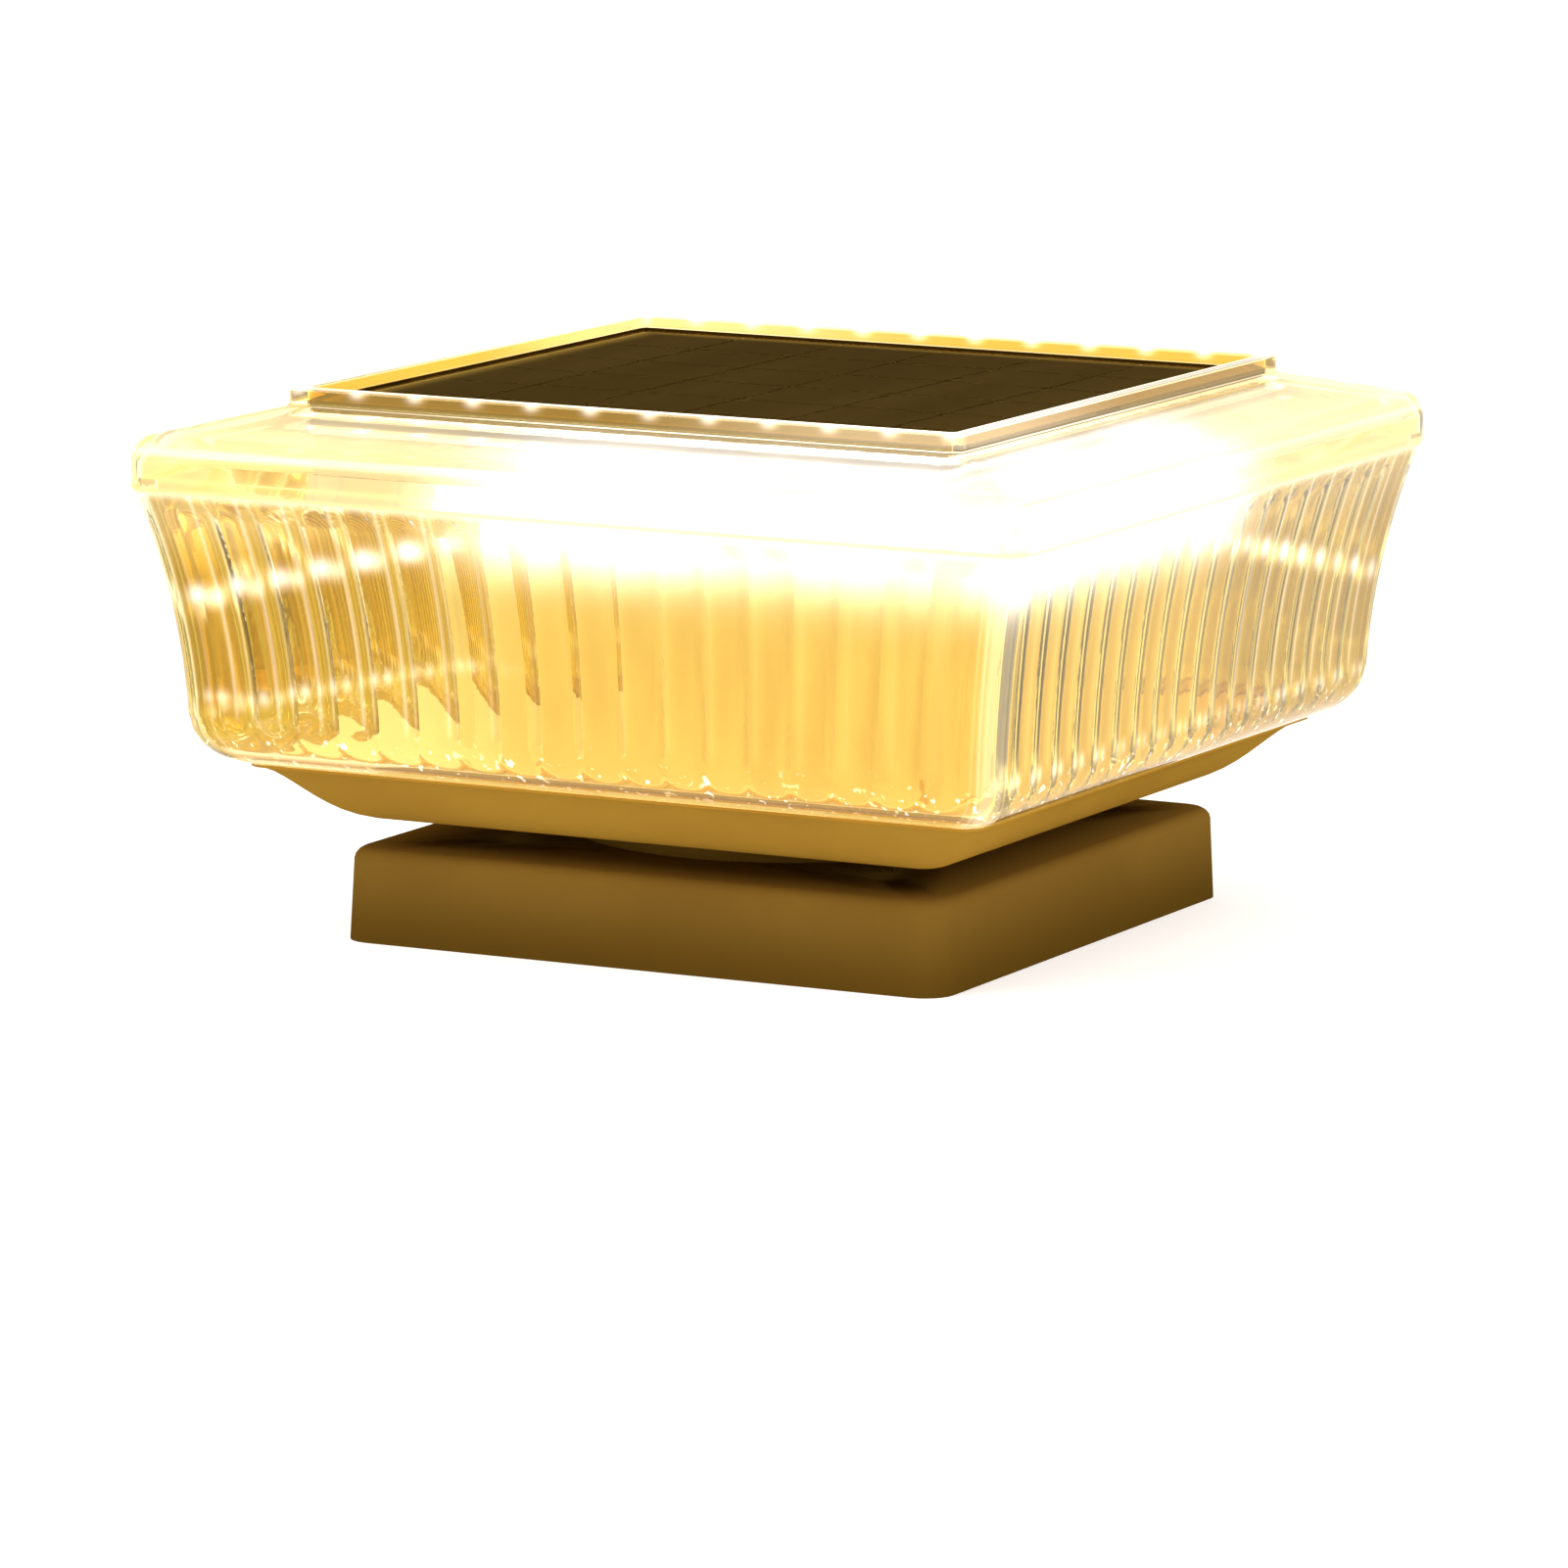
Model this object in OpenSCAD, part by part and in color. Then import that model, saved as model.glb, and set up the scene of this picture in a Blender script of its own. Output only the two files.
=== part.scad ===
// Solar post light: a square lamp head of clear ribbed plastic, with a solar panel let into its
// top, on a moulded base that is screwed down. The head turns in a bayonet on the base and then
// lifts off, which opens the way to the mounting holes, the switch and the battery.
// Millimetres, +Z up. The origin is the centre of the base's underside.

/* [Base] */
// Width of the base across its foot
base_w = 170.4; // [150:0.2:190]
// Height of the base
base_h = 24; // [20:0.5:40]
// How much each side of the base leans in towards its top
base_draft = 0.9; // [0:0.1:3]
// Rounding of the upright corners of the base
base_corner_r = 8; // [4:0.5:14]
// Rounding of the edge round the top of the base
base_edge_r = 3.1; // [1:0.1:5]
// Wall of the base skirt and of its top plate
base_wall = 2.6; // [2:0.1:4]
// Distance between neighbouring mounting holes
mount_pitch = 112; // [108:1:140]
// Diameter of the mounting holes
mount_hole_d = 5.2; // [4:0.1:6]
// Diameter of the corner posts that the mounting holes run through
mount_post_d = 15; // [13:0.5:16]
// Diameter of the recess for a mounting screw's head
mount_head_d = 10; // [8:0.5:11]
// Depth of the recess for a mounting screw's head
mount_head_depth = 5; // [3:0.5:10]

/* [Neck and bayonet] */
// Height of the open gap between the base and the pan
neck_h = 7; // [4:0.5:16]
// Radius of the round neck that stands on the base
neck_r = 56; // [54:0.5:60]
// Radius of the spigot that drops into the base
spigot_r = 50; // [49:0.5:51]
// Wall of the spigot
spigot_wall = 3; // [2:0.25:4]
// How far the bayonet lugs stand out from the spigot
lug_reach = 3.7; // [2:0.1:5]
// Thickness of the bayonet lugs
lug_t = 3.2; // [2:0.1:5]
// Angle that each bayonet lug spans
lug_angle = 24; // [14:1:30]
// Angle that the head turns through to come free
twist_angle = 30; // [28:1:40]
// Number of bayonet lugs
lug_count = 3; // [2:1:3]

/* [Pan] */
// Height of the pan from its floor to the lip of the shade
pan_h = 16; // [12:0.5:24]
// Half width of the pan at its top edge
pan_half = 103; // [101:0.5:106]
// Half width of the flat floor of the pan
pan_floor_half = 72; // [68:0.5:76]
// Wall of the pan
pan_wall = 2.4; // [1.8:0.1:3.2]
// Rounding of the upright corners of the pan
pan_corner_r = 6; // [3:0.5:10]

/* [Shade] */
// Height of the shade from its lip to the seam under the cover
shade_h = 70.5; // [60:0.5:90]
// How far the cover stands out beyond the shade at the seam
cover_overhang = 1.2; // [1:0.1:4]
// Half width of the shade where it turns in
shade_bend_half = 114.2; // [111:0.2:118]
// Radius of the turned-in foot of the shade
shade_turn_r = 13; // [10:0.5:16]
// Wall of the shade
shade_wall = 3; // [2.4:0.1:3.6]
// Rounding of the upright corners of the shade
shade_corner_r = 4.5; // [4:0.5:8]
// Ribs on the inner face of each side
rib_count = 18; // [8:1:22]
// How far a rib stands in from the wall
rib_depth = 1.5; // [0.6:0.1:2]
// Plain strip beside each corner that carries no ribs
rib_margin = 7; // [6:0.5:14]

/* [Cover] */
// Width of the cover, the widest part of the lamp
cover_w = 250; // [249:0.5:254]
// Height of the cover's upright skirt
skirt_h = 10.5; // [8:0.5:16]
// Rounding of the upright corners of the cover
cover_corner_r = 6; // [5:0.5:10]
// How far the shoulder climbs from the skirt to the rim
shoulder_rise = 9.8; // [8:0.2:14]
// Width of the raised rim round the panel
rim_w = 189; // [187:0.5:196]
// Height of the rim above the shoulder
rim_h = 4.6; // [3.8:0.1:8]
// Wall of the cover
cover_wall = 3; // [2.6:0.1:3.4]

/* [Solar panel] */
// Width of the solar panel
panel_w = 180; // [160:0.5:182]
// Thickness of the panel's glass
glass_t = 1.6; // [1:0.1:2]
// Thickness of the solar cells
cell_t = 0.4; // [0.3:0.05:0.6]
// Thickness of the board behind the cells
panel_back_t = 1.2; // [0.8:0.1:1.6]
// Cells along each side of the panel
cell_count = 6; // [2:1:8]
// Gap between neighbouring cells
cell_gap = 1.2; // [0.4:0.1:3]
// How far the glass lies below the top of the rim
panel_drop = 2.5; // [1:0.1:3]
// Bed of sealant under the panel
seal_bed = 0.5; // [0.3:0.1:1]

/* [Lights] */
// Width of the tray that carries the light strips
tray_w = 180; // [150:1:180]
// Depth of the tray's rim
tray_depth = 20; // [14:0.5:30]
// Sheet that the tray is moulded from
tray_wall = 2; // [1.5:0.1:3]
// Height of a light strip's board
strip_h = 10; // [7:0.5:12]
// Bare length of the tray beyond each end of a light strip
strip_end = 3; // [3:0.5:20]
// Thickness of a light strip's board
strip_t = 1.2; // [0.8:0.1:2]
// Distance between neighbouring lights
led_pitch = 16.6; // [12:0.1:30]
// Width and height of a light's case
led_w = 5; // [3:0.1:6]
// Thickness of a light's case
led_t = 1.6; // [0.8:0.1:2]

/* [Column] */
// Half width of the column at its foot
column_foot_half = 54; // [52:0.5:60]
// Half width of the column at its top
column_top_half = 60; // [59:0.5:66]
// Wall of the column
column_wall = 2.2; // [1.6:0.1:2.6]
// Diameter of the column's screw posts
column_post_d = 8; // [6:0.5:9]

/* [Battery and board] */
// Diameter of a battery cell
cell_d = 18.4; // [14:0.1:18.6]
// Length of a battery cell
cell_l = 65; // [50:0.5:66]
// Room at each end of a battery cell for its contact
contact_room = 2.5; // [1.5:0.1:3]
// Wall of the battery holder
holder_wall = 1.8; // [1.2:0.1:2.4]
// Thickness of the battery cover
hatch_t = 2; // [1.5:0.1:2.4]
// Margin of the battery cover round its opening
hatch_lap = 3; // [2:0.25:3.5]
// How far the battery holder lies back from the middle
battery_y = 4.5; // [3:0.5:5.5]
// Length of the control board
board_l = 62; // [50:1:80]
// Width of the control board
board_w = 36; // [30:1:40]
// Thickness of the control board
board_t = 1.6; // [1:0.1:2]
// Height of the posts under the control board
standoff_h = 4; // [2:0.5:8]

/* [Button] */
// Radius of the button
button_r = 4.2; // [3:0.1:4.6]
// Gap between the battery cover and the switch
switch_gap = 4; // [2:0.5:5]
// How far the button stands out of its collar
button_proud = 3.2; // [2.6:0.1:5]
// Travel of the button
button_travel = 2; // [1:0.1:2.5]

/* [Fits] */
// Gap round parts that turn or slide in others
fit_gap = 0.3; // [0.2:0.05:0.4]
// Gap at the flat faces of the bayonet
lug_gap = 0.15; // [0.05:0.05:0.4]

/* [Hidden] */

$fn = 48;
corner_steps = 6;
nothing = 0.01;
over = 1;

// Heights of the main seams, from the ground up
plate_z = base_h - base_wall;
pan_z = base_h + neck_h;
floor_z = pan_z + pan_wall;
lip_z = pan_z + pan_h;
seam_z = lip_z + shade_h;
fold_z = seam_z + skirt_h;
shoulder_z = fold_z + shoulder_rise;
rim_z = shoulder_z + rim_h;

// The panel's stack, from the top of the rim down to the floor of its recess
glass_z = rim_z - panel_drop - glass_t;
cell_z = glass_z - cell_t;
back_z = cell_z - panel_back_t;
recess_z = back_z - seal_bed;
recess_floor_t = 2.4;
tray_top_z = recess_z - recess_floor_t;
tray_z = tray_top_z - tray_wall;
recess_gap = 0.5;
recess_half = panel_w / 2 + recess_gap;
recess_corner_r = 1.5;
panel_border = 2.5;
seal_ledge = 8;
seal_window_r = 2;

base_half = base_w / 2;
cover_half = cover_w / 2;
shade_top_half = cover_half - cover_overhang;
rim_half = rim_w / 2;
mount_at = mount_pitch / 2;

// The spigot, its lugs and the collar that they turn in
spigot_tail = 3;
collar_room = 4;
collar_skirt = 6;
spigot_z = plate_z - lug_gap - lug_t - spigot_tail;
lug_r = spigot_r + lug_reach;
collar_r = lug_r + collar_room;
collar_wall = 2;
collar_h = lug_t + lug_gap + collar_skirt;
slot_gap = 0.5;
stop_angle = 4;
stop_gap_angle = 1;
base_rib_t = 1.8;

// The shade's foot and the seat that it shares with the pan
foot_flange_t = 3;
turn_end = 80;
turn_count = 5;
turn_corner_more = 1;
foot_half = shade_bend_half - shade_turn_r * (1 - cos(turn_end));
seat_lip = 7;
seat_half = pan_half - seat_lip;
upstand_half = seat_half - fit_gap;
upstand_wall = 2;
upstand_h = 3.5;
upstand_root = 3;
upstand_corner_less = 2;
upstand_corner_r = pan_corner_r - upstand_corner_less;
seat_corner_r = upstand_corner_r + fit_gap;
seal_corner_less = 1;
seal_corner_r = pan_corner_r - seal_corner_less;
seal_t = 1.2;
seal_in = 2;
seal_w = 2.6;
seal_side_gap = 0.1;

// The ledge and tongue by which the cover sits on the shade, and the groove for their seal
ledge_h = 3.6;
ledge_corner_r = 2;
tongue_h = 1.6;
tongue_wall = 2;
groove_edge_out = 0.4;
groove_edge_in = 0.2;
groove_corner_less = 2;
groove_out = shade_top_half - groove_edge_out;
groove_in = shade_top_half - shade_wall + groove_edge_in;
groove_corner_r = cover_corner_r - groove_corner_less;

// The cover's fold between skirt and shoulder, and the rim's foot and upper edge
fold_r = 7;
fold_drop = 3;
fold_inset = 2.2;
skirt_edge_in = 0.4;
skirt_edge_h = 0.8;
rim_corner_r = 1.6;
fold_corner_less = 1;
rim_fillet_r = 1.2;
rim_edge_r = 0.8;
shoulder_inset = 2;

// Screws
screw_r = 1.5;
screw_room = 0.2;
pilot_room = 0.05;
screw_head_r = 2.9;
screw_head_t = 2;
screw_grip = 12;
flat_head_r = 3.2;
flat_head_t = 1.2;
small_screw_r = 0.9;
small_head_r = 1.7;
small_head_t = 1.2;
small_grip = 6;

// The column stands on four pads of the pan that its screws run through
pad_r = 5;
pad_h = 2.6;
head_recess = screw_head_t + 0.4;
column_at = column_foot_half - column_wall - fit_gap - max(pad_r, column_post_d / 2);
column_top_plate = 2.4;
column_corner_r = 5;
column_rib_t = 1.6;

// The light strips on the tray's four sides
tray_half = tray_w / 2;
tray_corner_r = 3;
strip_l = tray_w - 2 * strip_end;
strip_lift = 0.6;
strip_z = tray_top_z - tray_depth + strip_lift + strip_h / 2;

// The battery holder and its way in through the floor of the pan
cells_across = 2;
cells_apart = 0.4;
cell_step = cell_d + cells_apart;
holder_side_room = 0.4;
holder_top_room = 1.6;
holder_l = cell_l + 2 * contact_room;
holder_w = cells_across * cell_step + 2 * holder_side_room;
holder_h = cell_d + holder_top_room + holder_wall;
holder_top_z = floor_z + holder_h;
cell_lift = 0.2;
cell_mid_z = floor_z + cell_lift + cell_d / 2;
cell_nub_r = 3;
cell_nub_h = 1;
contact_t = 0.5;
contact_r = 4;
contact_tip_r = 2.5;
hatch_gap = 0.3;
hatch_seal_t = 0.8;
hatch_wall = 2;
hatch_screw_room = 0.3;
hatch_screw_x = holder_l / 2 + holder_wall + small_screw_r + hatch_screw_room;
hatch_ear_r = 3.4;
hatch_post_h = 8;

// The control board on posts above the battery holder
board_z = holder_top_z + standoff_h;
board_top_z = board_z + board_t;
standoff_r = 2.6;
standoff_edge = 4;
standoff_x = board_l / 2 - standoff_edge;
standoff_y = board_w / 2 - standoff_edge;
socket_size = [9, 6, 7];

// The components on the board, from the board's middle
chip_at = [24, 0, 0];
inductor_at = [-8, -9, 0];
capacitor_at = [12, 2, 0];
capacitor_pitch = 8;

// The switch in the floor of the pan
flange_reach = 1;
flange_t = 1.2;
bushing_wall = 1.2;
bushing_r = button_r + flange_reach + fit_gap + bushing_wall;
nut_t = 2.2;
nut_reach = 0.6;
bushing_tail = 1;
bushing_z = pan_z - nut_t - bushing_tail;
switch_shoulder = 2;
switch_r = bushing_r + switch_shoulder;
switch_h = 14;
switch_seal_t = 0.8;
switch_end_room = 0.2;
stem_h = 2;
button_y = battery_y - holder_w / 2 - hatch_lap - switch_gap - switch_r;
button_z = bushing_z - button_proud;
flange_z = pan_z;
button_top_z = flange_z + flange_t + stem_h;

// The leads and the sockets that they end in, seen from above
lead_r = 0.9;
lead_sides = 8;
lead_room = 0.6;
lead_bend = 3;
light_lead_run = 14;
light_lead_slope = 10;
light_lead_drop = 6;
switch_lead_rise = 8;
panel_socket = [0, 14, 0];
light_socket = [-20, 0, 0];
switch_socket = [12, -7, 0];
light_lead_z = tray_z - light_lead_drop;
socket_top_z = board_top_z + socket_size[2];

// Corner point of a rounded square: q is the quarter, i the step round the corner
function corner_point(half, r, z, q, i) =
    let (
        turn = 90 * (q + i / corner_steps),
        sx = (q == 0 || q == 3) ? 1 : -1,
        sy = q < 2 ? 1 : -1
    )
    [sx * (half - r) + r * cos(turn), sy * (half - r) + r * sin(turn), z];

// The seven points of one rounded corner
function corner(half, r, z, q) = [for (i = [0:corner_steps]) corner_point(half, r, z, q, i)];

// One level of a loft, given as [height, half width, corner radius]
function ring(level) = [for (q = [0:3]) each corner(level[1], level[2], level[0], q)];

// Two triangles for each side of a band between two rings of n points that start at a and b
function band(a, b, n) = [
    for (i = [0:n - 1]) let (j = (i + 1) % n) each [[a + i, b + i, b + j], [a + i, b + j, a + j]]
];

// A closed solid through rings of as many points each
module skin(rings) {
    n = len(rings[0]);
    last = (len(rings) - 1) * n;
    polyhedron(
        [for (one = rings) each one],
        concat(
            [[for (i = [0:n - 1]) i], [for (i = [n - 1:-1:0]) last + i]],
            [for (k = [0:len(rings) - 2]) each band(k * n, (k + 1) * n, n)]
        ),
        convexity = 8
    );
}

// A solid through rounded squares, from the lowest to the highest
module loft(levels) {
    skin([for (one = levels) ring(one)]);
}

// A straight rounded square block with true round corners
module block(half, r, z, h) {
    translate([0, 0, z]) linear_extrude(h) {
        square([2 * half, 2 * (half - r)], center = true);
        square([2 * (half - r), 2 * half], center = true);
        for (x = [-1, 1], y = [-1, 1]) translate([x * (half - r), y * (half - r)]) circle(r);
    }
}

// A square frame between two half widths
module frame_ring(outer_half, inner_half, r, z, h) {
    difference() {
        block(outer_half, r, z, h);
        block(inner_half, max(r - (outer_half - inner_half), 0.5), z - over, h + 2 * over);
    }
}

// A plain box from its middle in plan and its lowest height
module box_at(x, y, z, l, w, h) {
    translate([x - l / 2, y - w / 2, z]) cube([l, w, h]);
}

module at_corners(at) {
    for (x = [-1, 1], y = [-1, 1]) translate([x * at, y * at, 0]) children();
}

// The four sides of a square, each child drawn on the +X side
module on_sides() {
    for (turn = [0:90:270]) rotate([0, 0, turn]) children();
}

module hole(r, z, h) {
    translate([0, 0, z]) cylinder(r = r, h = h);
}

// A stretch of a ring about the Z axis, from one angle on for a span
module arc_block(inner_r, outer_r, z, h, from, span) {
    translate([0, 0, z]) rotate([0, 0, from]) rotate_extrude(angle = span, $fn = 96)
        translate([inner_r, 0]) square([outer_r - inner_r, h]);
}

// A cross-slotted screw that points up, the underside of its head at the origin
module screw(r, length, head_r, head_t) {
    slot_w = head_t / 3;
    translate([0, 0, -nothing]) cylinder(r = r, h = length + nothing);
    difference() {
        translate([0, 0, -head_t]) cylinder(r = head_r, h = head_t);
        for (turn = [0, 90]) rotate([0, 0, turn])
            translate([-head_r * 0.6, -slot_w / 2, -head_t - over])
                cube([head_r * 1.2, slot_w, over + head_t / 2]);
    }
}

function unit(v) = v / norm(v);

// A lead swept from point to point in an upright plane, mitred where it bends
module lead(points) {
    last = len(points) - 1;
    span = points[last] - points[0];
    side = unit([-span[1], span[0], 0]);
    skin([for (k = [0:last]) let (
        before = unit(points[max(k, 1)] - points[max(k, 1) - 1]),
        after = unit(points[min(k, last - 1) + 1] - points[min(k, last - 1)]),
        along = unit(before + after),
        across = cross(along, side) / (along * before)
    ) [for (i = [0:lead_sides - 1]) let (turn = 360 * i / lead_sides)
        points[k] + lead_r * (cos(turn) * side + sin(turn) * across)]]);
}

// Half width of the base's face at a height, without its rounded edge
function base_half_at(z) = base_half - base_draft * z / base_h;

// Outer form of the base: a drafted skirt with a quarter-round edge
function base_levels() = concat(
    [[0, base_half, base_corner_r]],
    [for (a = [0:22.5:90]) let (
        z = base_h - base_edge_r + base_edge_r * sin(a),
        inset = base_edge_r * (1 - cos(a))
    ) [z, base_half_at(z) - inset, base_corner_r - inset / 2]]
);

module base_skirt() {
    inner_corner_r = base_corner_r - base_wall;
    difference() {
        loft(base_levels());
        loft([
            [-over, base_half_at(-over) - base_wall, inner_corner_r],
            [plate_z, base_half_at(plate_z) - base_wall, inner_corner_r]
        ]);
    }
}

// Stiffening ribs from the collar to the skirt and to the corner posts
module base_ribs() {
    side_reach = base_half_at(base_h) - base_wall / 2 - collar_r;
    corner_reach = mount_at * sqrt(2) - mount_post_d / 4 - collar_r;
    on_sides() {
        translate([collar_r, -base_rib_t / 2, plate_z - collar_h])
            cube([side_reach, base_rib_t, collar_h + nothing]);
        rotate([0, 0, 45]) translate([collar_r, -base_rib_t / 2, plate_z - collar_h])
            cube([corner_reach, base_rib_t, collar_h + nothing]);
    }
}

// The stops under the top plate that end the bayonet's turn at both ends
module base_stops() {
    free = lug_angle / 2 + stop_gap_angle;
    inner_r = spigot_r + 2 * fit_gap;
    for (k = [0:lug_count - 1]) rotate([0, 0, k * 360 / lug_count])
        for (from = [-free - stop_angle, twist_angle + free])
            arc_block(inner_r, collar_r + nothing, plate_z - lug_t, lug_t + nothing, from, stop_angle);
}

module base_collar() {
    difference() {
        translate([0, 0, plate_z - collar_h])
            cylinder(r = collar_r + collar_wall, h = collar_h + nothing, $fn = 96);
        translate([0, 0, plate_z - collar_h - over])
            cylinder(r = collar_r, h = collar_h + 2 * over, $fn = 96);
    }
}

module base() {
    slot_angle = lug_angle + 2 * stop_gap_angle;
    color([0.42, 0.32, 0.12]) difference() {
        union() {
            base_skirt();
            at_corners(mount_at) cylinder(d = mount_post_d, h = plate_z + nothing);
            base_ribs();
            base_collar();
            base_stops();
        }
        translate([0, 0, plate_z - over])
            cylinder(r = spigot_r + fit_gap, h = base_wall + 2 * over, $fn = 96);
        for (k = [0:lug_count - 1])
            arc_block(spigot_r - over, lug_r + slot_gap, plate_z - nothing, base_wall + 2 * over,
                k * 360 / lug_count + twist_angle - slot_angle / 2, slot_angle);
        at_corners(mount_at) {
            hole(mount_hole_d / 2, -over, base_h + 2 * over);
            hole(mount_head_d / 2, base_h - mount_head_depth, mount_head_depth + over);
        }
    }
}

// The pan's ogee: t runs from 0 at the edge of the flat floor to 1 at the lip
pan_steps = [0, 0.15, 0.27, 0.37, 0.46, 0.54, 0.61, 0.68, 0.75, 0.81, 0.87, 0.94, 1];
pan_floor_corner_r = pan_corner_r - upstand_corner_less;
pan_side_wall = 0.4 * pan_wall;
lip_edge_h = 0.8;
function ogee(t) = let (s = pow(t, 1.6)) s * s * (3 - 2 * s);
function ogee_z(t) = (pan_h - lip_edge_h) * ogee(t);
function pan_half_at(t) = pan_floor_half + (pan_half - pan_floor_half) * t;
function pan_corner_at(t) = pan_floor_corner_r + (pan_corner_r - pan_floor_corner_r) * t;

module pan_shell() {
    inner_half = upstand_half - upstand_wall;
    inner_r = pan_corner_r - pan_wall;
    difference() {
        union() {
            loft(concat(
                [for (t = pan_steps) [pan_z + ogee_z(t), pan_half_at(t), pan_corner_at(t)]],
                [[lip_z, pan_half, pan_corner_r]]
            ));
            block(upstand_half, upstand_corner_r, lip_z - over, upstand_h + over);
        }
        loft(concat(
            [for (t = pan_steps) if (pan_half_at(t) - pan_side_wall < inner_half)
                [floor_z + ogee_z(t), pan_half_at(t) - pan_side_wall, inner_r]],
            [
                [lip_z - upstand_root, inner_half, inner_r],
                [lip_z + upstand_h + over, inner_half, inner_r]
            ]
        ));
        frame_ring(seat_half + seal_in + seal_w, seat_half + seal_in, seal_corner_r,
            lip_z - seal_t, seal_t + over);
    }
}

module pan_neck() {
    difference() {
        union() {
            translate([0, 0, base_h]) cylinder(r = neck_r, h = neck_h + nothing, $fn = 96);
            translate([0, 0, spigot_z]) cylinder(r = spigot_r, h = pan_z - spigot_z, $fn = 96);
            for (k = [0:lug_count - 1])
                arc_block(spigot_r - over, lug_r, plate_z - lug_gap - lug_t, lug_t,
                    k * 360 / lug_count - lug_angle / 2, lug_angle);
        }
        translate([0, 0, spigot_z - over])
            cylinder(r = spigot_r - spigot_wall, h = pan_z - spigot_z + over, $fn = 96);
    }
}

module at_hatch_screws() {
    for (x = [-1, 1]) translate([x * hatch_screw_x, battery_y, 0]) children();
}

module pan() {
    color([0.66, 0.5, 0.18]) difference() {
        union() {
            pan_shell();
            pan_neck();
            at_corners(column_at) hole(pad_r, floor_z - nothing, pad_h + nothing);
        }
        at_corners(column_at) {
            hole(screw_r + screw_room, pan_z - over, pan_h);
            hole(screw_head_r + 2 * screw_room, pan_z - over, over + head_recess);
        }
        box_at(0, battery_y, pan_z - over, holder_l, holder_w, pan_wall + 2 * over);
        at_hatch_screws() hole(small_screw_r + screw_room, pan_z - over, pan_wall + 2 * over);
        translate([0, button_y, 0]) hole(bushing_r + fit_gap / 2, pan_z - over, pan_wall + 2 * over);
    }
}

module pan_seal() {
    color([0.15, 0.15, 0.14])
        frame_ring(seat_half + seal_in + seal_w - seal_side_gap, seat_half + seal_in + seal_side_gap,
            seal_corner_r, lip_z - seal_t, seal_t);
}

// Half width of the shade's outer face: t runs from 0 at the bend to 1 at the seam
bend_z = lip_z + shade_turn_r;
function flare(t) = shade_bend_half + (shade_top_half - shade_bend_half) * t * (1 + 3 * t) / 4;
function flare_z(t) = bend_z + (seam_z - bend_z) * t;
tongue_half = flare(1 - tongue_h / (seam_z - bend_z)) - shade_wall - fit_gap;

// Outer face, from the foot up: a turned-in quarter round, then the flare
flare_steps = [0, 0.2, 0.4, 0.6, 0.75, 0.88, 1];
turn_steps = [for (k = [turn_count:-1:1]) turn_end * k / turn_count];
turn_corner_r = shade_corner_r + turn_corner_more;
function shade_outside() = concat(
    [[lip_z, foot_half, turn_corner_r]],
    [for (a = turn_steps) [
        bend_z - shade_turn_r * sin(a),
        shade_bend_half - shade_turn_r * (1 - cos(a)),
        turn_corner_r
    ]],
    [for (t = flare_steps) [flare_z(t), flare(t), shade_corner_r]]
);

// Inner face below the ribs, from the foot's opening out and up to the bend
function shade_foot_inside() = let (inner_turn_r = shade_turn_r - foot_flange_t) concat(
    [
        [lip_z, seat_half, seat_corner_r],
        [lip_z + foot_flange_t, seat_half, seat_corner_r]
    ],
    [for (a = turn_steps) [
        bend_z - inner_turn_r * sin(a),
        shade_bend_half - shade_wall - inner_turn_r * (1 - cos(a)),
        turn_corner_r - shade_wall
    ]]
);

// One side of the ribbed inner face: half waves that meet in cusps, given as [along, out]
rib_steps = 4;
rib_points = rib_count * rib_steps + 1;
function ribbed_side(half, depth) = let (reach = half - rib_margin) [
    for (k = [0:rib_points - 1]) [
        reach * (2 * k / (rib_points - 1) - 1),
        half - depth * sin(180 * (k % rib_steps) / rib_steps)
    ]
];

// A ring of four corners and four ribbed sides, each side following its corner
function ribbed_ring(z, half, r, depth) = let (side = ribbed_side(half, depth)) [
    for (q = [0:3]) each concat(
        corner(half, r, z, q),
        [for (p = side)
            q == 0 ? [-p[0], p[1], z] :
            q == 1 ? [-p[1], -p[0], z] :
            q == 2 ? [p[0], -p[1], z] : [p[1], p[0], z]]
    )
];

// Ribbed levels from the top down: place between bend and seam, and share of the full depth
rib_levels = [[0.955, 0], [0.945, 0.7], [0.915, 1], [0.7, 1], [0.5, 1], [0.25, 1], [0.04, 1],
    [0, 0.75], [-0.03, 0]];

// Band from a plain ring at a to a ribbed ring at b, or the other way where back is true
function fan_band(a, b, back) = let (
    c = corner_steps + 1,
    f = c + rib_points,
    plain = back ? b : a,
    ribbed = back ? a : b
) [
    for (q = [0:3]) let (
        p0 = plain + q * c + c - 1,
        p1 = plain + ((q + 1) % 4) * c,
        side = [for (k = [0:rib_points + 1])
            k <= rib_points ? ribbed + q * f + c - 1 + k : ribbed + ((q + 1) % 4) * f],
        middle = floor(rib_points / 2)
    ) each concat(
        [for (i = [0:c - 2]) let (
            a0 = (back ? ribbed + q * f : plain + q * c) + i,
            b0 = (back ? plain + q * c : ribbed + q * f) + i
        ) each [[a0, b0, b0 + 1], [a0, b0 + 1, a0 + 1]]],
        [for (k = [0:rib_points]) let (p = k < middle ? p0 : p1)
            back ? [side[k], p, side[k + 1]] : [p, side[k], side[k + 1]]],
        [back ? [side[middle], p0, p1] : [p0, side[middle], p1]]
    )
];

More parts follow.
